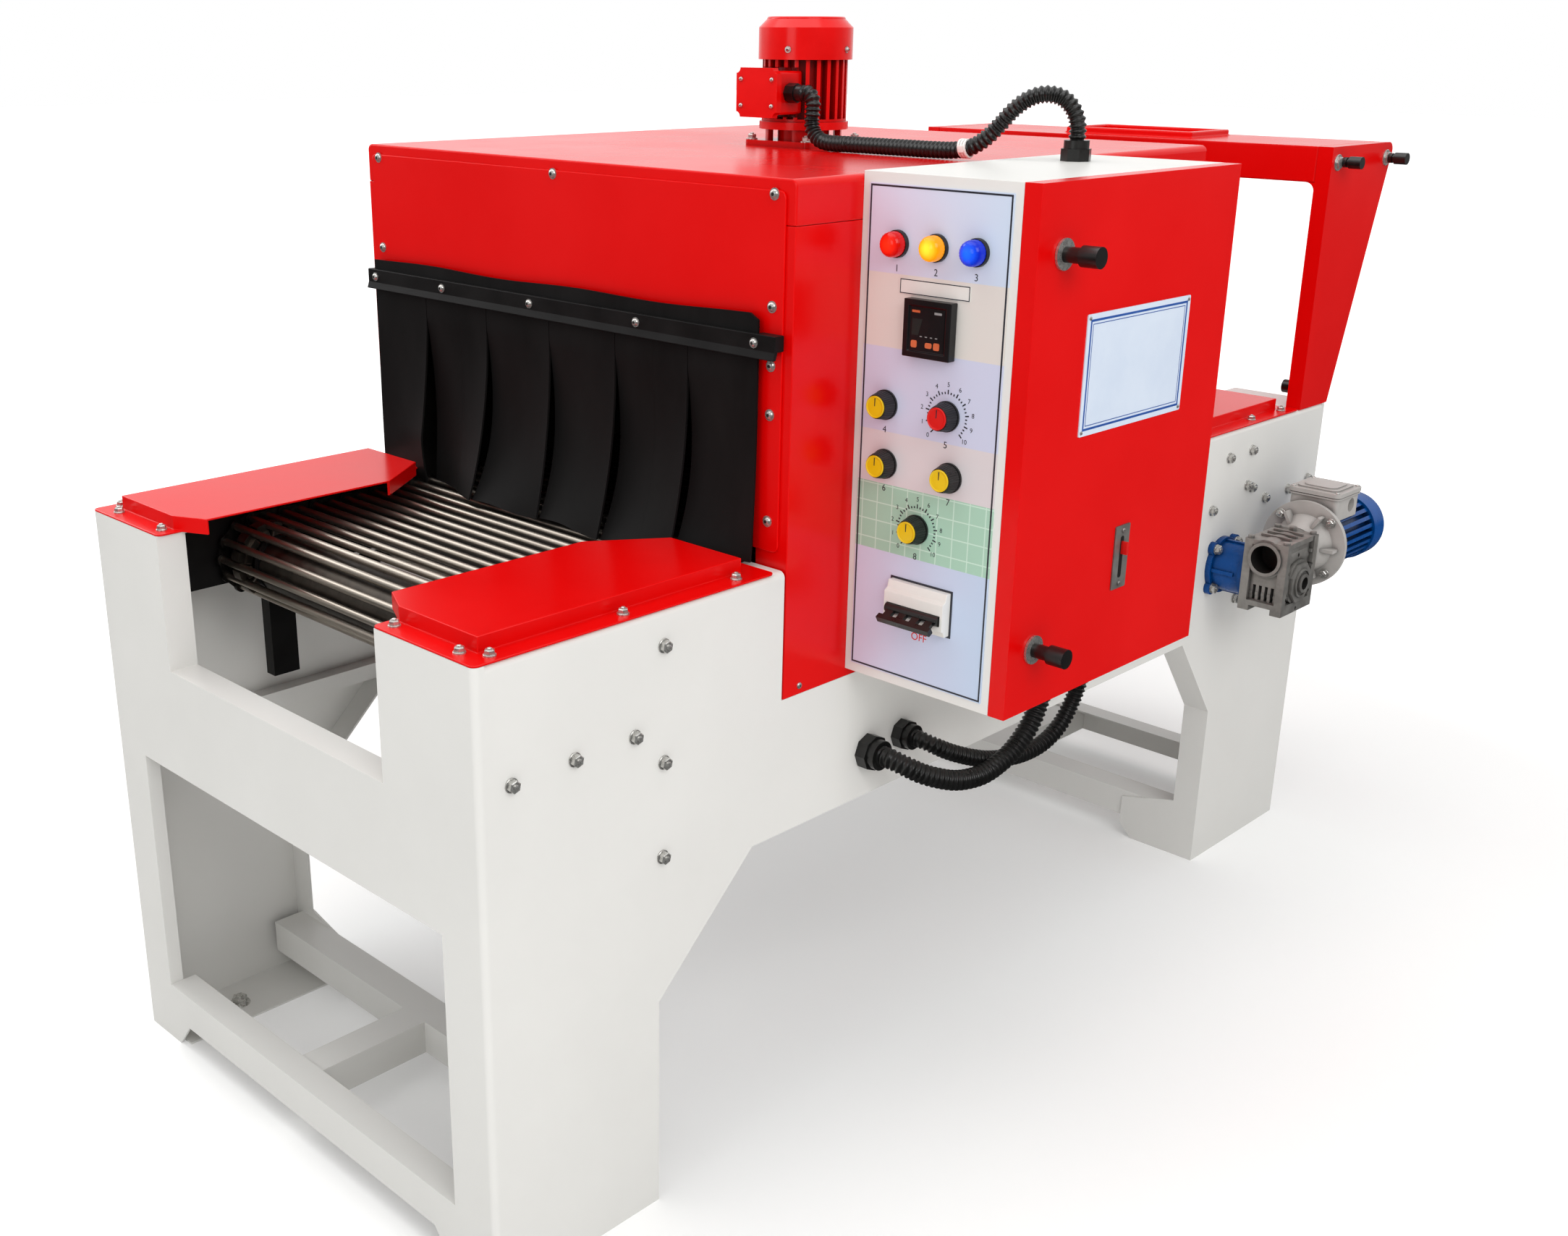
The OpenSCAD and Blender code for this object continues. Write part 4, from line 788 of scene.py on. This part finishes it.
def end_drum(end):
    """Turned drum inside the loop of rods, with a black collar and a ring of steel tabs at each end."""
    axle = middle(f"{end}_shaft")
    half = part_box("conveyor_rods")[1].x / MM
    start = half - DRUM_FROM_ROD_END
    bm = bmesh.new()
    long, wide, thick = TAB
    r, rim, end_x = DRUM_RADIUS, DRUM_RADIUS + 1.5, 2 * start
    body = [(r - 1, 0), (r, 1), (r, end_x - 1), (r - 1, end_x)]
    turned(bm, (-start * MM, axle.y, axle.z), RIGHT, body, 48)
    for side in (-1, 1):
        seat = Vector((side * (start - 1) * MM, axle.y, axle.z))
        turned(bm, seat, RIGHT * side, [(rim, 0), (rim, COLLAR - 1), (rim - 1, COLLAR)], 48, finish=1)
        root = Vector((side * (half - TAB_FROM_ROD_END - long / 2) * MM, axle.y, axle.z))
        for k in range(TABS):
            a = 2 * math.pi * (k + 0.5) / TABS
            out = Vector((0, math.cos(a), math.sin(a)))
            corner = root + out * (r + 3 - thick) * MM
            plate(bm, round_rect(long, wide, 2), corner, thick, finish=2, up=out.cross(RIGHT))
    piece(f"{end}_drum", bm, [SHAFT, BLACK, BAR], slot="bright_steel")


# Rubber curtains

RUBBER_T = 3.0
SLITS = [-262, -130, -2, 122, 248]
# How far the left and the right edge of each strip stand out at its foot
LEFT_FOOT = [0, -2, 35, 23, 30, 25]
RIGHT_FOOT = [32, 40, 28, 36, 31, 6]
# How far left edges go back half way down; where down its slit the first strip bends in, and how fast
BACK = [0, 9, 9, 9, 9, 9]
TUCK, TUCK_RATE = 0.74, 2.2
# Powers that shape the curl: down a strip, down the first one, down its left edge, and across
CURL, FIRST_CURL, LEFT_CURL, ACROSS_CURL = 2.1, 1.5, 3.5, 1.6
SWELL = 3
# Share of its distance out by which a curled foot rises
FOOT_RISE = 0.06
COLUMN = 8
SLIT_GAP = 0.5
# Still strips end above the conveyor, and above the guard covers beyond this distance from the middle
COVER_FROM = 333
OVER_COVER = 771.0
# Hem above the clamp bar: its rise, how much more at the right end, its wave, and the cut corner there
HEM_RISE, HEM_SLOPE, HEM_WAVE, HEM_CORNER = 14, 6, 1.5, 7


def stands_out(x, z, u, strip, foot):
    """How far a point of a strip stands out of the curtain's plane; u runs across its strip from 0 to 1."""
    fall = max(0.0, min(1.0, (foot["slit_top"] - z) / (foot["slit_top"] - foot["bottom"])))
    share = u**ACROSS_CURL
    curl = fall**CURL
    if strip == 0:
        curl = fall**FIRST_CURL * (1 - TUCK_RATE * max(0.0, fall - TUCK))
    left = LEFT_FOOT[strip] * fall**LEFT_CURL - BACK[strip] * math.sin(math.pi * fall)
    swell = noise.noise(Vector((x * 0.009, z * 0.006, 1.7))) * SWELL * fall
    return RIGHT_FOOT[strip] * curl * share + left * (1 - share) - swell


def hang(bm, columns, top, bottom_of, plane_y, out, foot, rows=26):
    """Adds one hanging panel of rubber; its columns are (x, share across the strip, strip)."""
    sheets = []
    for side in (-0.5, 0.5):
        grid = []
        for x, u, strip in columns:
            low, high = bottom_of(x), top(x)
            line = []
            for r in range(rows + 1):
                z = high + (low - high) * r / rows
                depth = stands_out(x, z, u, strip, foot)
                rise = FOOT_RISE * max(0.0, depth)
                line.append(bm.verts.new(mm(x, plane_y + out * (depth + side * RUBBER_T), z + rise)))
            grid.append(line)
        sheets.append(grid)
    inner, outer = sheets
    last = len(columns) - 1
    for i in range(last):
        for r in range(rows):
            for grid in sheets:
                bm.faces.new((grid[i][r], grid[i + 1][r], grid[i + 1][r + 1], grid[i][r + 1]))
        for r in (0, rows):
            bm.faces.new((inner[i][r], outer[i][r], outer[i + 1][r], inner[i + 1][r]))
    for i in (0, last):
        for r in range(rows):
            bm.faces.new((inner[i][r], outer[i][r], outer[i][r + 1], inner[i][r + 1]))


def strip_columns(x0, x1, edges):
    """Columns of a panel between two places, with the share across the strip that holds it."""
    strip = max(i for i in range(len(edges) - 1) if edges[i] <= x0 + 1)
    left, right = edges[strip], edges[strip + 1]
    count = max(4, round((x1 - x0) / COLUMN))
    columns = []
    for k in range(count + 1):
        x = x0 + (x1 - x0) * k / count
        columns.append((x, (x - left) / (right - left), strip))
    return columns


def curtain(end, out):
    """One curtain: strips that swing, still parts beside the covers, the clamped edge; out is outwards."""
    margin_low, margin_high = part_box(f"{end}_curtain_edges")
    swing_low, swing_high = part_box(f"{end}_curtain_strips")
    bar_low, bar_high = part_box(f"{end}_clamp_bar")
    plane_y = (margin_low.y + margin_high.y) / 2 / MM
    low, high = margin_low.x / MM, margin_high.x / MM
    swing_x = swing_high.x / MM + 1
    held_z = (bar_low.z + bar_high.z) / 2 / MM
    foot = {"slit_top": pivots[f"{end}_curtain"].z / MM, "bottom": swing_low.z / MM}
    edges = [low] + SLITS + [high]

    def held(x):
        return held_z

    def hem(x):
        rise = HEM_RISE + HEM_SLOPE * ((x - low) / (high - low)) ** 2
        corner = max(0.0, x - high + HEM_CORNER)
        return bar_high.z / MM + rise + HEM_WAVE * math.sin(x * 0.021 + 0.6) - corner

    def swing_foot(x):
        return foot["bottom"] + 2 * math.sin(x * 0.045)

    def still_foot(x):
        return foot["bottom"] if abs(x) < COVER_FROM else OVER_COVER

    moving_bm, still_bm = bmesh.new(), bmesh.new()
    cuts = sorted(edges + [-swing_x, swing_x])
    for a, b in zip(cuts, cuts[1:]):
        x0 = a + (SLIT_GAP if a in SLITS else 0.05)
        x1 = b - (SLIT_GAP if b in SLITS else 0.05)
        columns = strip_columns(x0, x1, edges)
        if -swing_x <= a and b <= swing_x:
            hang(moving_bm, columns, held, swing_foot, plane_y, out, foot)
        else:
            hang(still_bm, columns, held, still_foot, plane_y, out, foot)
    count = 60
    edge = [(low + (high - low) * k / count, 0.0, 0) for k in range(count + 1)]
    hang(still_bm, edge, hem, held, plane_y, out, foot, rows=5)

    sheet = {"slot": "black_rubber", "smooth_deg": 50}
    moving = piece(f"{end}_curtain_rubber", moving_bm, RUBBER, body=None, **sheet)
    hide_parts(f"{end}_curtain_strips")
    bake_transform(moving)

    still = piece(f"{end}_curtain_margin", still_bm, RUBBER, **sheet)
    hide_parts(f"{end}_curtain_edges")


# Fasteners

# Places in mm, and for fasteners that follow a piece their inset, rise, seat or circle on it
PANEL_BOLTS = [(-655, 725), (-699, 630), (-655, 586), (-786, 630), (-872, 628), (-657, 469)]
REAR_BOLTS = [
    (591, 723), (664, 724), (661, 666), (728, 633), (809, 633),
    (552, 644), (677, 660), (876, 640), (664, 472),
]
PLATE_SCREWS = [(0, 1190)]
PLATE_SCREWS += [(side * 371, z) for side in (-1, 1) for z in (1190, 1068, 1002, 946, 821)]
BAR_SCREWS = [-372, -218, -34, 165, 358]
BAR_SEAT, BAR_SHARE_UP = 3, 0.62
WALL_SCREW = (28, 11)
COVER_BOLTS = [(358, -899), (385, -882), (247, -899), (385, -701), (385, -526)]
REAR_COVER_BOLTS = [(385, 520), (385, 680), (385, 780), (300, 800)]
FOOT_BOLT = (345, 803, 3)
COVER_SHEET = 2.5
BLOWER_PLATE, PLATE_INSET = 8, 11
COWL_SCREWS, COWL_RISE = (-70, 10, 110, 190), 13
BOX_INSET = (9, 15)
EAR_CIRCLE, EAR_SEAT = 46, 9
FLANGE_CIRCLE, FLANGE_SEAT = 59, 12
LID_SEAT, LID_INSET = 4.5, 7
KNOB_INSET, KNOB_DOWN = 9.5, 10


def panel_bolts():
    """Hexagon bolts through both side panels, and those of the feet."""
    bm = bmesh.new()
    for side, node in ((1, "right_side_panel"), (-1, "left_side_panel")):
        low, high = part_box(node)
        face = high.x if side > 0 else low.x
        for y, z in PANEL_BOLTS + REAR_BOLTS:
            hex_bolt(bm, (face, y * MM, z * MM), (side, 0, 0))
        for end in (1, -1):
            x, y, z = FOOT_BOLT
            hex_bolt(bm, mm(side * x, end * y, z), UP, 19, 30)
    piece("panel_bolts", bm, ZINC)


def hood_screws():
    """Button screws of the mouth plates and the clamp bars, and pan screws low on the walls."""
    bm = bmesh.new()
    for end, facing in (("front", -1), ("rear", 1)):
        low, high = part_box(f"{end}_mouth_plate")
        y = low.y if facing < 0 else high.y
        for x, z in PLATE_SCREWS:
            button_screw(bm, (x * MM, y, z * MM), (0, facing, 0))
        low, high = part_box(f"{end}_clamp_bar")
        y = (low.y if facing < 0 else high.y) - facing * BAR_SEAT * MM
        z = low.z + (high.z - low.z) * BAR_SHARE_UP
        for x in BAR_SCREWS:
            button_screw(bm, (x * MM, y, z), (0, facing, 0), 9.5)
    inset, rise = WALL_SCREW
    for wall, side in (("left", -1), ("right", 1)):
        low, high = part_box(f"hood_{wall}_wall")
        face = high.x if side > 0 else low.x
        for y in inside(low.y, high.y, inset):
            pan_screw(bm, (face, y, low.z + rise * MM), (side, 0, 0), 8)
    piece("hood_screws", bm, [ZINC, SOCKET_SHADE])


def cover_bolts():
    """Bolts through the flanges of the guard covers."""
    bm = bmesh.new()
    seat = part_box("right_side_panel")[1].z + COVER_SHEET * MM
    for side in (1, -1):
        for x, y in COVER_BOLTS + REAR_COVER_BOLTS:
            hex_bolt(bm, (side * x * MM, y * MM, seat), UP, 10, 14)
    piece("cover_bolts", bm, ZINC)


def blower_bolts():
    """Bolts of the blower's base plate, and the screws of its cowl and terminal box."""
    bm = bmesh.new()
    low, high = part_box("blower_motor")
    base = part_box("hood_top")[1].z + BLOWER_PLATE * MM
    reach = (high.x - low.x) / 2 - PLATE_INSET * MM
    low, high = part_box("blower_cowl")
    hub, r = middle("blower_cowl", z=low.z + COWL_RISE * MM), (high.x - low.x) / 2
    for sx in (1, -1):
        for sy in (1, -1):
            hex_bolt(bm, (hub.x + sx * reach, hub.y + sy * reach, base), UP, 11, 16)
    for deg in COWL_SCREWS:
        out = Vector((math.cos(math.radians(deg)), math.sin(math.radians(deg)), 0))
        button_screw(bm, hub + out * r, out, 6)
    low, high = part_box("blower_terminal_box")
    for x in inside(low.x, high.x, BOX_INSET[0]):
        for z in inside(low.z, high.z, BOX_INSET[1]):
            pan_screw(bm, (x, low.y, z), TOWARDS, 6)
    piece("blower_bolts", bm, [ZINC, SOCKET_SHADE])


def drive_bolts():
    """Bolts of the gear motor's two flanges, and the screws of its terminal box."""
    bm = bmesh.new()
    ears = middle("output_flange", x=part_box("output_flange")[0].x + EAR_SEAT * MM)
    disc = middle("motor_flange", y=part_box("motor_flange")[1].y - FLANGE_SEAT * MM)
    for k in range(4):
        a = math.radians(45 + 90 * k)
        hex_bolt(bm, ears + mm(0, math.cos(a), math.sin(a)) * EAR_CIRCLE, RIGHT, 13, 17)
        hex_bolt(bm, disc + mm(math.cos(a), 0, math.sin(a)) * FLANGE_CIRCLE, TOWARDS, 11, 15)
    low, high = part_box("motor_terminal_box")
    for x in inside(low.x, high.x, LID_INSET):
        for y in inside(low.y, high.y, LID_INSET):
            pan_screw(bm, (x, y, high.z - LID_SEAT * MM), UP, 7)
    piece("drive_bolts", bm, [ZINC, SOCKET_SHADE])


def knob_washers():
    """Washers and nuts under the gantry's clamp knobs."""
    bm = bmesh.new()
    low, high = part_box("gantry_knobs")
    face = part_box("gantry_uprights")[1].x
    for y in inside(low.y, high.y, KNOB_INSET):
        seat = (face, y, high.z - KNOB_DOWN * MM)
        turned(bm, seat, RIGHT, [(13, -0.4), (13, 1.6), (12.4, 2.2)], 28)
        turned(bm, seat, RIGHT, [(10, 2), (10, 5.2), (8.8, 6)], 6)
    piece("knob_washers", bm, ZINC)


# Control panel

LAMP_PITCH, LENS_OUT = 54, 13.6
LABEL, LABEL_DROP = (96, 17), 45
LAMP_NAMES = ("red", "amber", "blue")
DIAL = (25, 30)
DIALS = (2, 5)
DIAL_STEPS = 30
TICK_HALF, TICK_SHORTER = 0.75, 2.5
NUMERAL, DIAL_NUMERAL = 11, 7.5
LAMP_DROP, KNOB_DROP, DIAL_DROP, DIAL_NUMERALS = 27, 29, 33, 35.5
SWITCH_WORD, SWITCH_WORD_DROP = 13, 13
KNOBS = range(1, 6)


def letters(bm, text, at, size):
    """Adds plain numerals or a switch word as thin print, centred on a point."""
    curve = bpy.data.curves.new("numeral", "FONT")
    curve.body = text
    curve.size = size * MM
    curve.align_x = "CENTER"
    curve.align_y = "CENTER"
    curve.extrude = 0.15 * MM
    holder = placed("numeral", curve)
    bpy.context.view_layer.update()
    mesh = bpy.data.meshes.new_from_object(holder.evaluated_get(bpy.context.evaluated_depsgraph_get()))
    turn = Matrix((RIGHT, UP, TOWARDS)).transposed().to_4x4()
    mesh.transform(Matrix.Translation(Vector(at)) @ turn)
    bm.from_mesh(mesh)
    bpy.data.meshes.remove(mesh)
    bpy.data.objects.remove(holder)
    bpy.data.curves.remove(curve)


def panel_print(face, lamps):
    """Print of the fascia: its border, the dials and the plain numbers of lamps and knobs."""
    low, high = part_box("fascia")
    size = (high - low) / MM
    bm = bmesh.new()
    frame_lines(bm, size.x - 3, size.z - 3, 2.0, middle("fascia", y=face), 0.25)
    for i, lamp in enumerate(lamps):
        letters(bm, str(i + 1), lamp - UP * LAMP_DROP * MM, NUMERAL)
    for i in KNOBS:
        hub = Vector((pivots[f"knob_{i}"].x, face, pivots[f"knob_{i}"].z))
        drop = DIAL_DROP if i in DIALS else KNOB_DROP
        letters(bm, str(i + 3), hub - UP * drop * MM, NUMERAL)
        if i not in DIALS:
            continue
        inner, outer = DIAL
        for k in range(DIAL_STEPS + 1):
            a = math.radians(225 - 270 * k / DIAL_STEPS)
            along = Vector((math.cos(a), math.sin(a)))
            side = Vector((-along.y, along.x)) * TICK_HALF
            end = outer if k % 3 == 0 else outer - TICK_SHORTER
            corners = [along * inner - side, along * end - side, along * end + side, along * inner + side]
            plate(bm, [tuple(c) for c in corners], hub, 0.2)
            if k % 3 == 0:
                spot = hub + mm(along.x, 0, along.y) * DIAL_NUMERALS
                letters(bm, str(k // 3), spot, DIAL_NUMERAL)
    piece("panel_print", bm, INK_AND_GAP_SHADE, slot="fascia_film")


def pilot_lamp(name, at, lens):
    """Fluted lens of a pilot lamp, about the middle of its dome, and its black bezel."""
    bm = bmesh.new()
    dome = [(14.2, -9.5), (14.2, -1), (13.4, 2.4), (11.2, 5), (7.6, 6.7), (2.5, 7.4)]
    turned(bm, (0, 0, 0), TOWARDS, dome, 48, flute=0.35)
    lamp = piece(f"{name}_lamp_lens", bm, lens, slot="lamp_plastic", smooth_deg=60)
    lamp.location = at + TOWARDS * LENS_OUT * MM
    bm = bmesh.new()
    turned(bm, at, TOWARDS, [(15.4, 0), (15.4, 4.2), (15, 5.2), (14, 5.4)], 40)
    piece(f"{name}_lamp_bezel", bm, PHENOLIC)


def selector_knob(i):
    """Fluted skirt, coloured cap and pointer line of a knob, which turn with it."""
    low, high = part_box(f"knob_{i}")
    width = (high.x - low.x) / MM - 5
    base, tip = width / 2 + 1.5, width / 2 - 1.5
    long = (high.y - low.y) / MM
    at = Vector((pivots[f"knob_{i}"].x, low.y, pivots[f"knob_{i}"].z))
    bm = bmesh.new()
    skirt = [(base + 0.5, 3 - long), (tip + 0.7, -0.8), (tip - 0.4, 0.2)]
    turned(bm, at, TOWARDS, skirt, 72, flute=0.6)
    piece(f"knob_{i}_skirt", bm, PHENOLIC, body=f"knob_{i}", slot="black_plastic", smooth_deg=25)
    bm = bmesh.new()
    r = tip - 0.8
    cap = [(r, -0.5), (r, 1.6), (r - 0.6, 2.1), (r - 1.6, 1.9), (r - 2.2, 1.4), (2, 1.7)]
    turned(bm, at, TOWARDS, cap, 40)
    pointer = [(-0.6, 1), (0.6, 1), (0.6, r - 2.5), (-0.6, r - 2.5)]
    plate(bm, pointer, at + TOWARDS * 1.2 * MM, 0.6, finish=1)
    piece(f"knob_{i}_cap", bm, [CAP_RED if i == 2 else YELLOW, INK_AND_GAP_SHADE], body=f"knob_{i}")


def controller_face():
    """Smoked window, keys and marks of the temperature controller."""
    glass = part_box("temperature_controller")[0].y + 2 * MM
    at = middle("temperature_controller", y=glass)
    bm = bmesh.new()
    window = [(-23, -24), (23, -24), (23, 23), (-23, 23)]
    plate(bm, window, at + UP * 0.5 * MM, 0.4)
    for x, w, h in ((-17, 8, 8), (3, 9, 6), (14, 8, 8)):
        key = at + mm(x, 0, -17)
        plate(bm, round_rect(w, h, 2), key, 1.2, finish=1)
    for x, w, finish in ((-16, 11, 1), (14, 10, 2)):
        mark = at + mm(x, 0, 19)
        plate(bm, round_rect(w, 2.6, 0.5), mark, 0.6, finish=finish)
    for k in range(4):
        plate(bm, round_rect(3, 1, 0.3), at + mm(7 * k - 8, 0, -8), 0.6, finish=2)
    plate(bm, [(-21, -7), (-12, -7), (-7, 11), (-21, 11)], at, 0.5, finish=3)
    piece("controller_face", bm, [GLASS, ORANGE, PALE_MARK, DIM_SCREEN])


def control_panel():
    """All that is on the fascia."""
    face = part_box("fascia")[0].y
    centre = middle("pilot_lamps", y=face)
    lamps = [centre + RIGHT * k * LAMP_PITCH * MM for k in (-1, 0, 1)]
    panel_print(face, lamps)
    for name, at, lens in zip(LAMP_NAMES, lamps, LENSES):
        pilot_lamp(name, at, lens)
    for i in KNOBS:
        selector_knob(i)
    controller_face()

    bm = bmesh.new()
    label = centre - UP * LABEL_DROP * MM
    wide, high = LABEL
    plate(bm, round_rect(wide, high, 1), label, 0.8)
    frame_lines(bm, wide - 1, high - 1, 1.0, label + TOWARDS * 0.8 * MM, 0.15, finish=1)
    piece("label_plate", bm, [IVORY, INK_AND_GAP_SHADE])

    low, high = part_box("breaker_body")
    at, size = middle("breaker_body", y=face), (high - low) / MM
    bm = bmesh.new()
    # Painted shade: a dark frame round the breaker stands in for the shadowed edge of its cutout.
    frame_lines(bm, size.x + 5, size.z + 5, 3.0, at, 0.6)
    piece("breaker_painted_gap_shade", bm, INK_AND_GAP_SHADE)
    bm = bmesh.new()
    letters(bm, "OFF", at - UP * (size.z / 2 + SWITCH_WORD_DROP) * MM, SWITCH_WORD)
    piece("breaker_print", bm, CAP_RED)


# Door furniture, which swings with the door

NAME_PLATE, NAME_PLATE_AT = (219, 137), (-129.5, 997.5)
LEVER_PLATE, LEVER_PLATE_AT = (31, 79), (-123.5, 765.5)


def door_furniture():
    """Bare bordered plate with four rivets, and the small plate with its red lever."""
    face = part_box("control_door")[1].x
    back = Vector((0, 1, 0))
    bm = bmesh.new()
    wide, high = NAME_PLATE
    centre = Vector((face, *mm(*NAME_PLATE_AT)))
    plate(bm, round_rect(wide, high, 2), centre, 1.2, right=back)
    raised = centre + mm(1.2, 0, 0)
    for inset, line in ((6, 2.6), (11, 0.9)):
        frame_lines(bm, wide - 2 * inset, high - 2 * inset, line, raised, 0.15, finish=1, right=back)
    rivet = [(2.4, 0), (2.2, 0.8), (1.2, 1.3)]
    for sy in (-1, 1):
        for sz in (-1, 1):
            spot = raised + mm(0, sy * (wide / 2 - 4.5), sz * (high / 2 - 4.5))
            turned(bm, spot, RIGHT, rivet, 14, finish=2)
    piece("name_plate", bm, [PLATE, BLUE_INK, ZINC], body="door")

    bm = bmesh.new()
    centre = Vector((face, *mm(*LEVER_PLATE_AT)))
    plate(bm, round_rect(*LEVER_PLATE, 1.5), centre, 1.6, right=back)
    raised = centre + mm(1.6, 0, 0)
    # The lever's slot: a thin plate of painted shade.
    plate(bm, round_rect(7, 52, 3), raised, 0.2, finish=1, right=back)
    slab(bm, (face / MM + 1, -125, 769), (face / MM + 10, -121, 785), 0.8, finish=2)
    for sz in (-1, 1):
        pan_screw(bm, raised + mm(0, 0, sz * 33), RIGHT, 6)
    piece("lever_plate", bm, [CAST, SOCKET_SHADE, CAP_RED], body="door")


# Studio

CAMERA_AT = (1.6261, -1.8409, 1.3548)
CAMERA_YAW, CAMERA_PITCH, CAMERA_ROLL = 45.46, -19.46, 0.24
CAMERA_LENS = 38.3
CAMERA_SHIFT = (0.068, 0.0026)


def camera():
    """The photograph's camera."""
    data = bpy.data.cameras.new("camera")
    data.sensor_width = 36
    data.lens = CAMERA_LENS
    data.shift_x, data.shift_y = CAMERA_SHIFT
    data.clip_end = 100
    made = placed("camera", data)
    turn = (
        Matrix.Rotation(math.radians(CAMERA_YAW), 4, "Z")
        @ Matrix.Rotation(math.radians(90 + CAMERA_PITCH), 4, "X")
        @ Matrix.Rotation(math.radians(CAMERA_ROLL), 4, "Z")
    )
    made.matrix_world = Matrix.Translation(CAMERA_AT) @ turn
    bpy.context.scene.camera = made


def softbox(name, at, aim, size, watts):
    """One rectangular lamp, aimed at a point."""
    data = bpy.data.lights.new(name, "AREA")
    data.shape = "RECTANGLE"
    data.size, data.size_y = size
    data.energy = watts
    made = placed(name, data)
    made.location = at
    made.rotation_mode = "QUATERNION"
    made.rotation_quaternion = (Vector(aim) - Vector(at)).to_track_quat("-Z", "Y")


# Light of the surroundings and of the floor, under the object, further off and in reflections
WORLD_LIGHT = 0.66
FLOOR_GLOW = 0.16
SWEEP_GLOW = 0.7
SWEEP = (1.6, 3.2)
FLOOR_MIRRORED = 0.07
BRIGHT_SIDE = (-0.45, 0.45, 0.8)
DIM_SIDE = 0.12


def ray(tree, kind):
    """1 for the rays of one kind: those from the camera, or those that a shiny surface sends on."""
    return add(tree, "ShaderNodeLightPath").outputs[f"Is {kind} Ray"]


def surroundings():
    """White surroundings, which shiny surfaces see dim behind the camera."""
    world = bpy.data.worlds.new("studio")
    bpy.context.scene.world = world
    world.use_nodes = True
    tree = world.node_tree
    direct = remap(tree, ray(tree, "Camera"), (0, 1), (WORLD_LIGHT, 1))
    links = {0: place(tree, "Generated")}
    side = add(tree, "ShaderNodeVectorMath", links=links, values={1: BRIGHT_SIDE}, operation="DOT_PRODUCT")
    room = remap(tree, side.outputs["Value"], (-0.3, 0.6), (DIM_SIDE, 1))
    ends = {"Value": ray(tree, "Glossy"), "To Min": direct, "To Max": room}
    level = add(tree, "ShaderNodeMapRange", links=ends)
    sky = tree.nodes["Background"]
    sky.inputs["Color"].default_value = (1, 1, 1, 1)
    tree.links.new(level.outputs["Result"], sky.inputs["Strength"])


def pale_floor():
    """Pale floor that keeps the shadow, glows into the white surroundings and looks dim in reflections."""
    made = surface("pale_floor", "#F4F4F3", Roughness=0.9)
    tree = made.node_tree
    away = add(tree, "ShaderNodeVectorMath", links={0: place(tree)}, operation="LENGTH")
    sweep = remap(tree, away.outputs["Value"], SWEEP, (FLOOR_GLOW, SWEEP_GLOW))
    lift = add(tree, "ShaderNodeMath", links={0: ray(tree, "Camera"), 1: sweep}, operation="MULTIPLY")
    glow = add(tree, "ShaderNodeEmission", links={"Strength": lift.outputs[0]})
    lit = {0: tree.nodes["Principled BSDF"].outputs["BSDF"], 1: glow.outputs["Emission"]}
    both = add(tree, "ShaderNodeAddShader", links=lit)
    dim = add(tree, "ShaderNodeEmission", values={"Strength": FLOOR_MIRRORED})
    seen = {0: ray(tree, "Glossy"), 1: both.outputs["Shader"], 2: dim.outputs["Emission"]}
    shown = add(tree, "ShaderNodeMixShader", links=seen)
    tree.links.new(shown.outputs["Shader"], tree.nodes["Material Output"].inputs["Surface"])
    return made


def studio():
    """Surroundings, softboxes and floor."""
    surroundings()
    softbox("key_softbox", (3.9, -1.6, 3.4), (0, 0, 0.7), (3.0, 2.4), 80)
    softbox("top_softbox", (-0.5, -0.5, 4.2), (0, 0, 0.5), (3.5, 3.5), 55)
    softbox("side_softbox", (-2.8, -1.0, 2.3), (0, -0.6, 0.7), (1.2, 1.8), 23)
    softbox("front_softbox", (0.4, -3.4, 1.7), (0.4, -0.4, 0.95), (1.2, 1.2), 9)
    bm = bmesh.new()
    bmesh.ops.create_grid(bm, x_segments=1, y_segments=1, size=30)
    mesh = bpy.data.meshes.new("floor")
    bm.to_mesh(mesh)
    bm.free()
    mesh.materials.append(pale_floor())
    floor = placed("floor", mesh)


def main():
    """Builds the scene around the frame."""
    camera()
    dress_nodes()
    inner_faces()
    conduit("heater_conduit", HEATER_ROUTE, 27, 6.8)
    conduit("motor_conduit", MOTOR_ROUTE, 23, 6.4)
    conduit("blower_conduit", BLOWER_ROUTE, 21, 6.4)
    cable_tie()
    for end in ("front", "rear"):
        end_drum(end)
    curtain("front", -1)
    curtain("rear", 1)
    panel_bolts()
    hood_screws()
    cover_bolts()
    blower_bolts()
    drive_bolts()
    knob_washers()
    control_panel()
    door_furniture()
    studio()
    bpy.context.scene.view_settings.view_transform = "Standard"


main()
